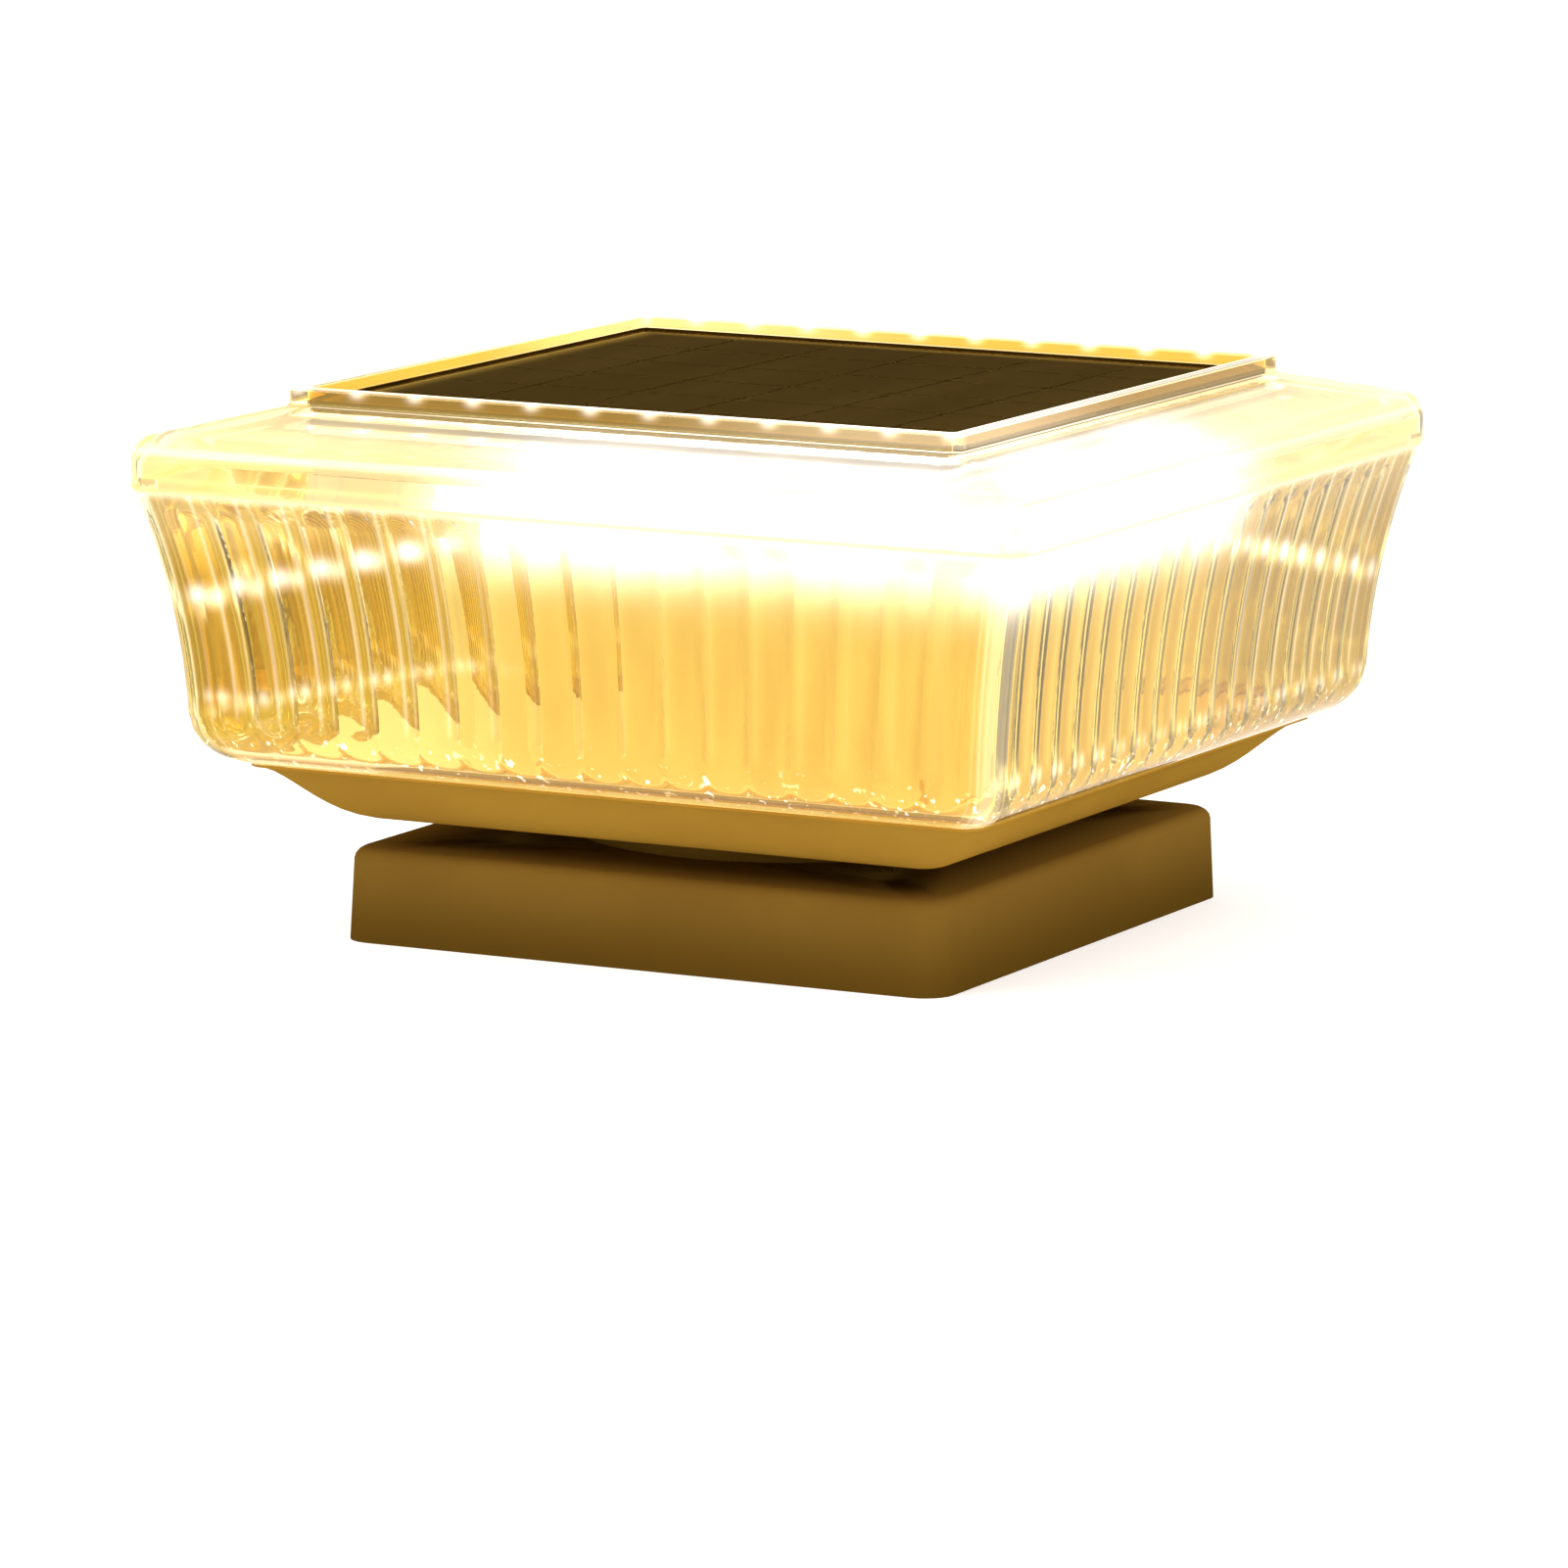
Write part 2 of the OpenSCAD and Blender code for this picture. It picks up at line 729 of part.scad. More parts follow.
// The shade is one closed skin: up the outside, over the seam face, down the ribs, and back
// under the foot flange to where it began
module shade() {
    c = 4 * (corner_steps + 1);
    f = c + 4 * rib_points;
    inner_r = shade_corner_r - shade_wall;
    foot = shade_foot_inside();
    outside = shade_outside();
    plain_foot = [for (k = [len(foot) - 1:-1:0]) foot[k]];
    first_ribbed = (len(outside) + 1) * c;
    after_ribbed = first_ribbed + len(rib_levels) * f;
    points = concat(
        [for (one = outside) each ring(one)],
        ring([seam_z, flare(1) - shade_wall, inner_r]),
        [for (one = rib_levels) each ribbed_ring(flare_z(one[0]), flare(max(one[0], 0)) - shade_wall,
            inner_r, one[1] * rib_depth)],
        [for (one = plain_foot) each ring(one)]
    );
    faces = concat(
        [for (k = [0:len(outside) - 1]) each band(k * c, (k + 1) * c, c)],
        fan_band(len(outside) * c, first_ribbed, false),
        [for (k = [0:len(rib_levels) - 2]) each band(first_ribbed + k * f, first_ribbed + (k + 1) * f, f)],
        fan_band(after_ribbed - f, after_ribbed, true),
        [for (k = [0:len(plain_foot) - 2]) each band(after_ribbed + k * c, after_ribbed + (k + 1) * c, c)],
        band(after_ribbed + (len(plain_foot) - 1) * c, 0, c)
    );
    color([0.96, 0.86, 0.5, 0.5]) polyhedron(points, faces, convexity = 10);
}

module shade_seal() {
    color([0.15, 0.15, 0.14])
        frame_ring(groove_out - seal_side_gap, groove_in + seal_side_gap, groove_corner_r, seam_z, seal_t);
}

// Outer form of the cover: skirt, quarter-round fold, sloping shoulder and rim
function cover_levels() = concat(
    [
        [seam_z, cover_half - skirt_edge_in, cover_corner_r],
        [seam_z + skirt_edge_h, cover_half, cover_corner_r]
    ],
    [for (a = [0:15:75]) [
        fold_z - fold_drop + fold_r * sin(a),
        cover_half - fold_r * (1 - cos(a)),
        cover_corner_r - fold_corner_less * (1 - cos(a))
    ]],
    [for (a = [0:30:90]) let (out = rim_fillet_r * (1 - sin(a)))
        [shoulder_z + rim_fillet_r * (1 - cos(a)), rim_half + out, rim_corner_r + out]],
    [for (a = [0:30:90]) let (inset = rim_edge_r * (1 - cos(a)))
        [rim_z - rim_edge_r + rim_edge_r * sin(a), rim_half - inset, rim_corner_r - inset / 2]]
);

module cover_shell() {
    inner_half = cover_half - cover_wall;
    inner_r = cover_corner_r - cover_wall;
    difference() {
        loft(cover_levels());
        loft([
            [seam_z + ledge_h, inner_half, inner_r],
            [fold_z - fold_drop, inner_half, inner_r],
            [fold_z, inner_half - fold_inset, inner_r],
            [tray_top_z, rim_half + shoulder_inset, inner_r]
        ]);
    }
}

// The ledge that sits on the shade joins the skirt to the tongue
module cover_ledge() {
    block(cover_half - skirt_edge_in, cover_corner_r, seam_z, ledge_h);
    frame_ring(tongue_half, tongue_half - tongue_wall, shade_corner_r - shade_wall - fit_gap,
        seam_z - tongue_h, tongue_h + nothing);
}

module cover_opening() {
    block(tongue_half - tongue_wall, ledge_corner_r, seam_z - over, ledge_h + 2 * over);
}

module top_cover() {
    color([0.98, 0.93, 0.74, 0.5]) difference() {
        union() {
            cover_shell();
            cover_ledge();
        }
        cover_opening();
        frame_ring(groove_out, groove_in, groove_corner_r, seam_z - over, seal_t + over);
        block(recess_half, recess_corner_r, recess_z, rim_z);
        at_corners(column_at) {
            hole(screw_r + screw_room, tray_top_z - over, recess_floor_t + 2 * over);
            hole(flat_head_r + screw_room, recess_z - flat_head_t, flat_head_t + over);
        }
        translate(panel_socket) hole(lead_r + lead_room, tray_top_z - over, recess_floor_t + 2 * over);
    }
}

module panel_block(z, h) {
    box_at(0, 0, z, panel_w, panel_w, h);
}

module panel_glass() {
    color([0.3, 0.22, 0.1, 0.6]) panel_block(glass_z, glass_t);
}

module solar_cells() {
    pitch = (panel_w - 2 * panel_border + cell_gap) / cell_count;
    first = panel_border - panel_w / 2;
    color([0.14, 0.1, 0.06]) for (i = [0:cell_count - 1], j = [0:cell_count - 1])
        translate([first + i * pitch, first + j * pitch, cell_z])
            cube([pitch - cell_gap, pitch - cell_gap, cell_t]);
}

module panel_backsheet() {
    color([0.2, 0.16, 0.1]) panel_block(back_z, panel_back_t);
}

// The bed of sealant under the panel's edge, and the bead that fills the gap beside it
module panel_seal() {
    color([0.1, 0.09, 0.08]) difference() {
        block(recess_half, recess_corner_r, recess_z, glass_z + glass_t / 2 - recess_z);
        panel_block(back_z, panel_w);
        block(panel_w / 2 - seal_ledge, seal_window_r, recess_z - over, 2 * over);
    }
}

module led_tray() {
    color([0.95, 0.93, 0.86]) difference() {
        block(tray_half, tray_corner_r, tray_top_z - tray_depth, tray_depth);
        block(tray_half - tray_wall, tray_corner_r - 1, tray_top_z - tray_depth - over,
            tray_depth - tray_wall + over);
        at_corners(column_at) hole(screw_r + screw_room, tray_z - over, tray_wall + 2 * over);
        translate(panel_socket) hole(lead_r + lead_room, tray_z - over, tray_wall + 2 * over);
        translate([-tray_half - over, 0, strip_z]) rotate([0, 90, 0])
            hole(lead_r + lead_room, 0, tray_wall + 2 * over);
    }
}

module led_strips() {
    color([0.97, 0.95, 0.9]) on_sides() translate([tray_half, -strip_l / 2, strip_z - strip_h / 2])
        cube([strip_t, strip_l, strip_h]);
}

module led_chips() {
    count = floor((strip_l - led_w) / led_pitch) + 1;
    first = -led_pitch * (count - 1) / 2;
    color([1, 0.9, 0.55]) on_sides() for (k = [0:count - 1])
        translate([tray_half + strip_t, first + k * led_pitch - led_w / 2, strip_z - led_w / 2])
            cube([led_t, led_w, led_w]);
}

// Webs that tie each screw post of the column to the two walls beside it
module column_webs() {
    run = column_top_half - column_at;
    intersection() {
        loft([
            [floor_z + pad_h, column_foot_half - column_wall / 2, column_corner_r],
            [tray_z, column_top_half - column_wall / 2, column_corner_r]
        ]);
        on_sides() for (y = [-1, 1])
            box_at(column_at + run / 2, y * column_at, floor_z + pad_h, run, column_rib_t,
                tray_z - floor_z - pad_h - column_top_plate / 2);
    }
}

module inner_column() {
    inner_z = tray_z - column_top_plate;
    inner_r = column_corner_r - column_wall;
    color([0.96, 0.94, 0.88]) difference() {
        union() {
            difference() {
                loft([
                    [floor_z, column_foot_half, column_corner_r],
                    [tray_z, column_top_half, column_corner_r]
                ]);
                loft([
                    [floor_z - over, column_foot_half - column_wall, inner_r],
                    [inner_z, column_top_half - column_wall, inner_r]
                ]);
            }
            at_corners(column_at)
                hole(column_post_d / 2, floor_z + pad_h, inner_z - floor_z - pad_h + nothing);
            column_webs();
        }
        at_corners(column_at) {
            hole(screw_r + pilot_room, floor_z, pad_h + screw_grip + over);
            hole(screw_r + pilot_room, tray_z - screw_grip - over, screw_grip + 2 * over);
        }
        translate(panel_socket) hole(lead_r + lead_room, inner_z - over, column_top_plate + 2 * over);
        translate([-column_top_half - over, 0, light_lead_z]) rotate([0, 90, 0])
            hole(lead_r + lead_room, 0, 4 * column_wall);
    }
}

module column_screws() {
    head_z = pan_z + head_recess;
    color("silver") at_corners(column_at) translate([0, 0, head_z])
        screw(screw_r, floor_z + pad_h + screw_grip - head_z, screw_head_r, screw_head_t);
}

// Flat-headed screws that hold the cover and the tray down on the column, under the panel
module cover_screws() {
    head_z = recess_z - flat_head_t;
    color("silver") at_corners(column_at) {
        hole(screw_r, tray_z - screw_grip, head_z - tray_z + screw_grip + nothing);
        hole(flat_head_r, head_z, flat_head_t);
    }
}

module at_standoffs() {
    for (x = [-1, 1], y = [-1, 1]) translate([x * standoff_x, battery_y + y * standoff_y, 0])
        children();
}

module battery_holder() {
    color([0.2, 0.2, 0.2]) difference() {
        union() {
            box_at(0, battery_y, floor_z, holder_l + 2 * holder_wall, holder_w + 2 * holder_wall,
                holder_h);
            at_standoffs() hole(standoff_r, holder_top_z - nothing, standoff_h + nothing);
            at_hatch_screws() hole(hatch_ear_r, floor_z, hatch_post_h);
        }
        box_at(0, battery_y, floor_z - over, holder_l, holder_w, holder_h - holder_wall + over);
        at_standoffs() hole(small_screw_r, holder_top_z - holder_wall - over,
            standoff_h + holder_wall + 2 * over);
        at_hatch_screws() hole(small_screw_r + pilot_room, floor_z - over, small_grip + 2 * over);
    }
}

// The two cells lie side by side, each child drawn at the middle of a cell
module at_cells() {
    for (k = [0:cells_across - 1])
        translate([0, battery_y + (k - (cells_across - 1) / 2) * cell_step, cell_mid_z]) children();
}

module battery_cells() {
    color([0.1, 0.35, 0.6]) at_cells() translate([-cell_l / 2, 0, 0]) rotate([0, 90, 0]) {
        cylinder(d = cell_d, h = cell_l - cell_nub_h);
        cylinder(r = cell_nub_r, h = cell_l);
    }
}

module battery_contacts() {
    color([0.8, 0.72, 0.4]) at_cells() for (end = [0, 180]) rotate([0, 0, end])
        translate([holder_l / 2, 0, 0]) rotate([0, -90, 0]) {
            translate([-cell_d / 3, -cell_d / 3, 0]) cube([cell_d * 2 / 3, cell_d * 2 / 3, contact_t]);
            translate([0, 0, contact_t - nothing])
                cylinder(r1 = contact_r, r2 = contact_tip_r, h = contact_room - contact_t + nothing);
        }
}

// The lap of the battery cover, with an ear round each screw
module hatch_outline(z, h) {
    box_at(0, battery_y, z, holder_l + 2 * hatch_lap, holder_w + 2 * hatch_lap, h);
    at_hatch_screws() hole(hatch_ear_r, z, h);
}

module battery_cover() {
    lap_z = pan_z - hatch_seal_t - hatch_t;
    color([0.66, 0.5, 0.18]) difference() {
        union() {
            hatch_outline(lap_z, hatch_t);
            box_at(0, battery_y, lap_z + nothing, holder_l - 2 * hatch_gap, holder_w - 2 * hatch_gap,
                floor_z - lap_z - nothing);
        }
        box_at(0, battery_y, lap_z + hatch_t, holder_l - 2 * (hatch_gap + hatch_wall),
            holder_w - 2 * (hatch_gap + hatch_wall), pan_h);
        at_hatch_screws() hole(small_screw_r + screw_room, lap_z - over, hatch_t + 2 * over);
    }
}

module battery_cover_seal() {
    color([0.15, 0.15, 0.14]) difference() {
        hatch_outline(pan_z - hatch_seal_t, hatch_seal_t);
        box_at(0, battery_y, pan_z - hatch_seal_t - over, holder_l, holder_w, hatch_seal_t + 2 * over);
        at_hatch_screws()
            hole(small_screw_r + screw_room, pan_z - hatch_seal_t - over, hatch_seal_t + 2 * over);
    }
}

module battery_cover_screws() {
    head_z = pan_z - hatch_seal_t - hatch_t;
    color("silver") at_hatch_screws() translate([0, 0, head_z])
        screw(small_screw_r, floor_z + small_grip - head_z, small_head_r, small_head_t);
}

module control_board() {
    color([0.1, 0.35, 0.18]) difference() {
        box_at(0, battery_y, board_z, board_l, board_w, board_t);
        at_standoffs() hole(small_screw_r + screw_room, board_z - over, board_t + 2 * over);
    }
}

module control_chip() {
    body = [6, 5, 1.6];
    leg = [0.5, 1.4, 0.8];
    legs = 4;
    leg_pitch = 1.27;
    color([0.12, 0.12, 0.12]) translate(chip_at + [0, battery_y, board_top_z]) {
        box_at(0, 0, 0, body[0], body[1], body[2]);
        for (k = [0:legs - 1], side = [-1, 1])
            box_at((k - (legs - 1) / 2) * leg_pitch, side * (body[1] + leg[1] / 2) / 2, 0,
                leg[0], leg[1], leg[2]);
    }
}

module power_inductor() {
    core_r = 4;
    waist_r = 3;
    flange = 1.2;
    h = 6;
    color([0.25, 0.25, 0.27]) translate(inductor_at + [0, battery_y, board_top_z]) rotate_extrude()
        polygon([
            [0, 0], [core_r, 0], [core_r, flange], [waist_r, flange], [waist_r, h - flange],
            [core_r, h - flange], [core_r, h], [0, h]
        ]);
}

module capacitors() {
    can_r = 3.2;
    can_h = 9;
    groove_z = 1.6;
    groove = 0.3;
    color([0.15, 0.2, 0.4]) for (side = [-0.5, 0.5])
        translate(capacitor_at + [0, battery_y + side * capacitor_pitch, board_top_z])
            rotate_extrude() polygon([
                [0, 0], [can_r, 0], [can_r, groove_z], [can_r - groove, groove_z + groove],
                [can_r, groove_z + 2 * groove], [can_r, can_h], [0, can_h]
            ]);
}

module board_sockets() {
    color([0.92, 0.9, 0.84]) for (at = [panel_socket, light_socket, switch_socket])
        box_at(at[0], at[1], board_top_z, socket_size[0], socket_size[1], socket_size[2]);
}

module board_screws() {
    color("silver") at_standoffs() translate([0, 0, board_top_z]) mirror([0, 0, 1])
        screw(small_screw_r - pilot_room, board_t + standoff_h, small_head_r, small_head_t);
}

module panel_lead() {
    color([0.7, 0.1, 0.1]) translate(panel_socket) hole(lead_r, socket_top_z, back_z - socket_top_z);
}

module light_lead() {
    color([0.9, 0.9, 0.9]) lead([
        [-tray_half, 0, strip_z],
        [-tray_half + light_lead_run, 0, strip_z],
        [-tray_half + light_lead_run + light_lead_slope, 0, light_lead_z],
        light_socket + [-lead_bend, 0, light_lead_z],
        light_socket + [0, 0, light_lead_z - lead_bend],
        light_socket + [0, 0, socket_top_z]
    ]);
}

module switch_lead() {
    top = socket_top_z + switch_lead_rise;
    from = [0, button_y, 0];
    over_to = lead_bend * unit(switch_socket - from);
    color([0.1, 0.1, 0.1]) lead([
        from + [0, 0, floor_z + switch_seal_t + switch_h],
        from + [0, 0, top - lead_bend],
        from + over_to + [0, 0, top],
        switch_socket - over_to + [0, 0, top],
        switch_socket + [0, 0, top - lead_bend],
        switch_socket + [0, 0, socket_top_z]
    ]);
}

// The switch: a housing above the pan's floor, and a collar through it that guides the button
module switch_body() {
    body_z = floor_z + switch_seal_t;
    chamber_h = flange_t + button_travel + switch_end_room;
    bore_top_z = button_top_z + button_travel + switch_end_room;
    color([0.12, 0.12, 0.12]) translate([0, button_y, 0]) difference() {
        union() {
            hole(bushing_r, bushing_z, body_z - bushing_z + nothing);
            hole(switch_r, body_z, switch_h);
        }
        hole(button_r + fit_gap, bushing_z - over, bore_top_z - bushing_z + over);
        hole(button_r + flange_reach + fit_gap, flange_z, chamber_h);
    }
}

module switch_seal() {
    color([0.15, 0.15, 0.14]) translate([0, button_y, 0]) difference() {
        hole(switch_r, floor_z, switch_seal_t);
        hole(bushing_r + pilot_room, floor_z - over, switch_seal_t + 2 * over);
    }
}

module switch_nut() {
    color("silver") translate([0, button_y, pan_z - nut_t]) difference() {
        cylinder(r = switch_r + nut_reach, h = nut_t, $fn = 6);
        hole(bushing_r + pilot_room, -over, nut_t + 2 * over);
    }
}

module button_cap() {
    color([0.75, 0.1, 0.1]) translate([0, button_y, 0]) {
        hole(button_r, button_z, button_top_z - button_z);
        hole(button_r + flange_reach, flange_z, flange_t);
    }
}

base();
pan();
shade();
top_cover();
pan_seal();
shade_seal();
panel_glass();
solar_cells();
panel_backsheet();
panel_seal();
led_tray();
led_strips();
led_chips();
inner_column();
cover_screws();
column_screws();
battery_holder();
battery_cells();
battery_contacts();
battery_cover();
battery_cover_seal();
battery_cover_screws();
control_board();
control_chip();
power_inductor();
capacitors();
board_sockets();
board_screws();
panel_lead();
light_lead();
switch_lead();
switch_body();
switch_seal();
switch_nut();
button_cap();
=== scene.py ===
"""Solar post light, lit from within: a ribbed clear shade and clear cover round a glowing column,
a dark solar panel let into the top, and a golden brown pan and base."""

import math

import bmesh
import bpy
import numpy as np
from mathutils import Matrix, Vector


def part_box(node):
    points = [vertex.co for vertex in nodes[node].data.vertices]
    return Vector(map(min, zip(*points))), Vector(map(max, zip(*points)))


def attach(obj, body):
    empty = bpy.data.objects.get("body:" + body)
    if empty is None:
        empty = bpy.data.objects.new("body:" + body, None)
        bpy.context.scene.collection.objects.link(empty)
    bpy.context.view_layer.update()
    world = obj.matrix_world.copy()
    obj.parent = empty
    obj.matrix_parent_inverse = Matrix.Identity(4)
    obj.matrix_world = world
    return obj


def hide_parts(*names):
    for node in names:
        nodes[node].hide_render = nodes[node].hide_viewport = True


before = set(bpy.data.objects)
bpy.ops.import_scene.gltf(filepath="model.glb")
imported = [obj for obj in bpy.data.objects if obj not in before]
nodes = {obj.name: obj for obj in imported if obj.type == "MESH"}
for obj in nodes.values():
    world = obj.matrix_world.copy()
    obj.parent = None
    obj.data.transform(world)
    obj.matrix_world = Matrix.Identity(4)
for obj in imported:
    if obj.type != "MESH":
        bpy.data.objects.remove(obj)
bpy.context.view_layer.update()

# Camera: where it stands, what it looks at and how long its lens is
CAMERA_AZIMUTH = 26.9
CAMERA_HEIGHT = 10.35
CAMERA_DISTANCE = 2.400
CAMERA_TILT = 0.821
CAMERA_ROLL = 0.35
CAMERA_LENS = 212.6
SENSOR = 36.0
SHIFT_X = -0.0030
CLIP_END = 100

# Heights of the seams and half widths of the levels, read from the parts in model.glb
LIP_Z, SEAM_Z = (corner.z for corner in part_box("shade"))
SHADE_TOP_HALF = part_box("shade")[1].x
COVER_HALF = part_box("top_cover")[1].x
RIM_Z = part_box("top_cover")[1].z
RECESS_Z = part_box("panel_seal")[0].z
RECESS_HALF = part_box("panel_seal")[1].x
TRAY_TOP_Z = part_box("led_tray")[1].z
COLUMN_FOOT_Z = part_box("inner_column")[0].z
BASE_TOP_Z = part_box("base")[1].z

# Both clear pieces, and the angle in degrees from which an edge is sharp
WALL = 0.003
CORNER_STEPS = 8
SHARP_ANGLE = 28

# Shade
SEAT_HALF = 0.096
TURN_R = 0.013
BEND_HALF = 0.1142
SHADE_CORNER_R = 0.0045
TURN_CORNER_R = 0.0055
SEAT_CORNER_R = 0.0043
FOOT_FLANGE = 0.003
RIBS = 18
RIB_DEPTH = 0.0015
RIB_MARGIN = 0.007
RIB_SWELL = (0.965, 0.925)
TURN_START, TURN_END, TURN_STEPS = -80, -4, 12
FLARE_STEPS, INNER_STEPS, RIB_STEPS = 22, 30, 10

# Cover
SHOULDER_Z = RIM_Z - 0.0046
FOLD_Z = SEAM_Z + 0.0105
FOLD_R = 0.007
FOLD_DROP = 0.003
COVER_CORNER_R = 0.006
RIM_ARC, FILLET_ARC, FOLD_ARC = (90, 0, 6), (180, 270, 6), (75, 0, 12)
SHOULDER_STEPS, COVER_SIDE_STEPS = 14, 24
RIM_HALF = 0.0945
RIM_CORNER_R = 0.0016
RIM_EDGE_R = 0.0008
RIM_FILLET_R = 0.0012
LEDGE_H = 0.0036
LEDGE_IN_HALF = 0.1183
LEDGE_CORNER_R = 0.0020
RECESS_CORNER_R = 0.0015
RECESS_CHAMFER = 0.0003
FLOOR_LAP = 0.020
SKIRT_CHAMFER, SKIRT_CHAMFER_H = 0.0004, 0.0008
INNER_SLOPE = 0.0022
TRAY_SEAT_HALF = RIM_HALF + 0.0020
COVER_MARGIN = 0.007

# Lights on the strips round the tray
LIGHT_PITCH = 0.0166

# Colours of the light inside the head, linear
GOLD_LIGHT = (1.0, 0.70, 0.20, 1)
WARM_LIGHT = (1.0, 0.92, 0.47, 1)
PALE_LIGHT = (1.0, 0.88, 0.54, 1)
HOT_LIGHT = (1.0, 0.94, 0.90, 1)
PANEL_EDGE_LIGHT = (1.0, 0.66, 0.13, 1)

# Where the walls get painted shade, as x times y in square metres
DARK_START, DARK_FULL = 0.0008, 0.0062
DARK_MORE_ACROSS_X = 0.0022

# Light in the shade. Heights, and widths along them, are in metres. Widths across the ribs are in
# ribs. Places near a corner are shares of the way there from the side's middle. A pair of strengths
# is for the lit stretches of the walls and for those under painted shade, but the veil's pair goes
# with its two heights.
HOT_Z, HOT_WIDTH = SEAM_Z - 0.0035, 0.0092
HOT_STRENGTHS = (0.6, 0.048)
RIBS_RUN_OUT = (LIP_Z + 0.011, LIP_Z + 0.017)
LINE_WIDTH = 0.045
LINE_STRENGTHS = (0.02, 0.3)
SPOT_HEIGHT, SPOT_WIDTH = 0.0024, 0.2
SPOT_ROW = (SEAM_Z - 0.0102, SEAM_Z - 0.0327)
SPOT_ROW_MORE_ON_FRONT = (0.0112, 0.0052)
RIB_FOOT_Z = LIP_Z + 0.0125
RIB_FOOT_MORE_ON_FRONT = (0.0195, 0.0060)
RIB_FOOT_SHARES = (0.3, 0.85)
BEAD_HEIGHT, BEAD_PLACE, BEAD_WIDTH = 0.0018, 0.35, 0.1
BEAD_STRENGTH = 0.4
EDGE_LINE, EDGE_LINE_WIDTH, EDGE_LINE_STRENGTH = 0.957, 0.004, 0.18
EDGE_BAR = (0.960, 0.972)
EDGE_BAR_STRENGTHS = (0.2, 0.0)
SEAM_LINE_WIDTH, SEAM_LINE_STRENGTH = 0.0012, 0.25
SPARKS_Z, SPARKS_HEIGHT = LIP_Z + 0.0065, 0.004
VEIL_HEIGHTS = (LIP_Z + 0.004, LIP_Z + 0.021)
VEIL_STRENGTHS = (0.06, 0.01)
GOLD_LINE_WIDTH = 0.17
GOLD_LINE_STRENGTHS_SIDE_FRONT = (0.12, 0.05)
LIP_LINE_Z, LIP_LINE_HEIGHT, LIP_LINE_STRENGTH = LIP_Z + 0.0010, 0.0008, 0.2

# Colour of the shade: painted shade, a painted shadow along the lip and painted light under the seam
DEEP_BAND_WIDTH = 0.26
DEEP_EDGE = (0.94, 0.99)
FOOT_EDGE_HEIGHT = 0.0015
LIP_SHADOW_Z, LIP_SHADOW_HEIGHT = LIP_Z + 0.0030, 0.0010
CLEAR_Z, CLEAR_HEIGHT = SEAM_Z - 0.0040, 0.012
CLEAR_SHARES = (0.7, 0.1)

# Light in the cover, with pairs of strengths as in the shade. The rim's walls are lit towards the
# corners where x times y reaches the second value of RIM_WALL_LIGHT, in square metres.
SHOULDER_LIGHT_HALF, SHOULDER_LIGHT_WIDTH, SHOULDER_STRENGTH = RIM_HALF + 0.0135, 0.012, 0.3
SHOULDER_MIDDLE = (0.085, 0.118)
SHOULDER_STRENGTHS = (1.0, 0.25)
SHOULDER_CORNER_SHARE = 0.3
SHOULDER_LIGHT_TOP = (SHOULDER_Z + 0.0012, SHOULDER_Z + 0.0004)
SEAM_EDGE_HEIGHT, FOLD_EDGE_HEIGHT, EDGES_STRENGTH = 0.0010, 0.0009, 0.3
GLINT_WIDTH, GLINT_HEIGHT, GLINT_DROP, GLINT_STRENGTH = 0.0020, 0.0014, 0.0004, 0.7
GLINT_CORNER = -0.001
RIM_TOP_EDGE = (RIM_Z - 0.0007, RIM_Z - 0.0002)
RIM_TOP_STRENGTH = 0.2
SKIRT_TOP = (FOLD_Z + 0.002, FOLD_Z - 0.002)
SKIRT_FOOT = (SEAM_Z, SEAM_Z + 0.002)
SKIRT_STRENGTHS = (0.28, 0.02)
RIM_WALL_FOOT = (SHOULDER_Z + 0.0006, SHOULDER_Z + 0.0014)
RIM_WALL_LIGHT = (0.001, -0.0072)
RIM_WALL_LIGHT_STRENGTH = 0.22
RIM_CORNER = (0.965, 0.98)
RIM_CORNER_STRENGTH = 0.12
RIM_WALL_VEIL = 0.13
FILLET_LINE_Z, FILLET_LINE_HEIGHT, FILLET_LINE_STRENGTH = SHOULDER_Z + 0.0004, 0.0006, 0.2
SLOPE_START = (RIM_HALF + 0.0005, RIM_HALF + 0.0055)
SLOPE_FOOT = (FOLD_Z - 0.002, FOLD_Z)
SLOPE_STRENGTH = 0.11
LEDGE_LINE_HEIGHT, LEDGE_LINE_STRENGTH = 0.0010, 0.12
COVER_VEIL = 0.025

# Painted light in the colour of the rim's walls: deep gold between these heights
RIM_GOLD_FOOT = (SHOULDER_Z + 0.0010, SHOULDER_Z + 0.0016)
RIM_GOLD_TOP = (RIM_Z - 0.0004, RIM_Z - 0.0008)

# Light on the pan's floor, the column, the tray and the panel's edge
PAN_FLOOR = (COLUMN_FOOT_Z - 0.0009, COLUMN_FOOT_Z + 0.0011)
PAN_FLOOR_STRENGTH = 0.95
PAN_FACES_INWARDS, PAN_FACES_UP = (-0.002, -0.010), (0.1, 0.4)
COLUMN_HEIGHTS = (SEAM_Z - 0.0325, SEAM_Z + 0.0075)
TRAY_HEIGHTS = (SEAM_Z - 0.0175, SEAM_Z + 0.0025)
PANEL_EDGE = (RECESS_HALF - 0.009, RECESS_HALF + 0.001)
PANEL_EDGE_STRENGTH = 0.24

# Surfaces: how deep their reliefs are, and between which values noise mostly lies
GRAIN_DEPTH = 0.00004
RELIEF_DEPTH = 0.00003
WAVE_DEPTH = 0.00012
NOISE_SPAN = (0.3, 0.7)

# Stage
WORLD_LIGHT = 0.8
FLOOR_REACH = 20
FLOOR_WHITENESS = 0.45
LAMP_SIZE = 1.2
LAMP_TARGET = (0, 0, 0.07)
KEY_PLACE, KEY_POWER = (-1.2, -1.6, 1.6), 30
SIDE_PLACE, SIDE_POWER = (1.8, -0.6, 1.0), 19


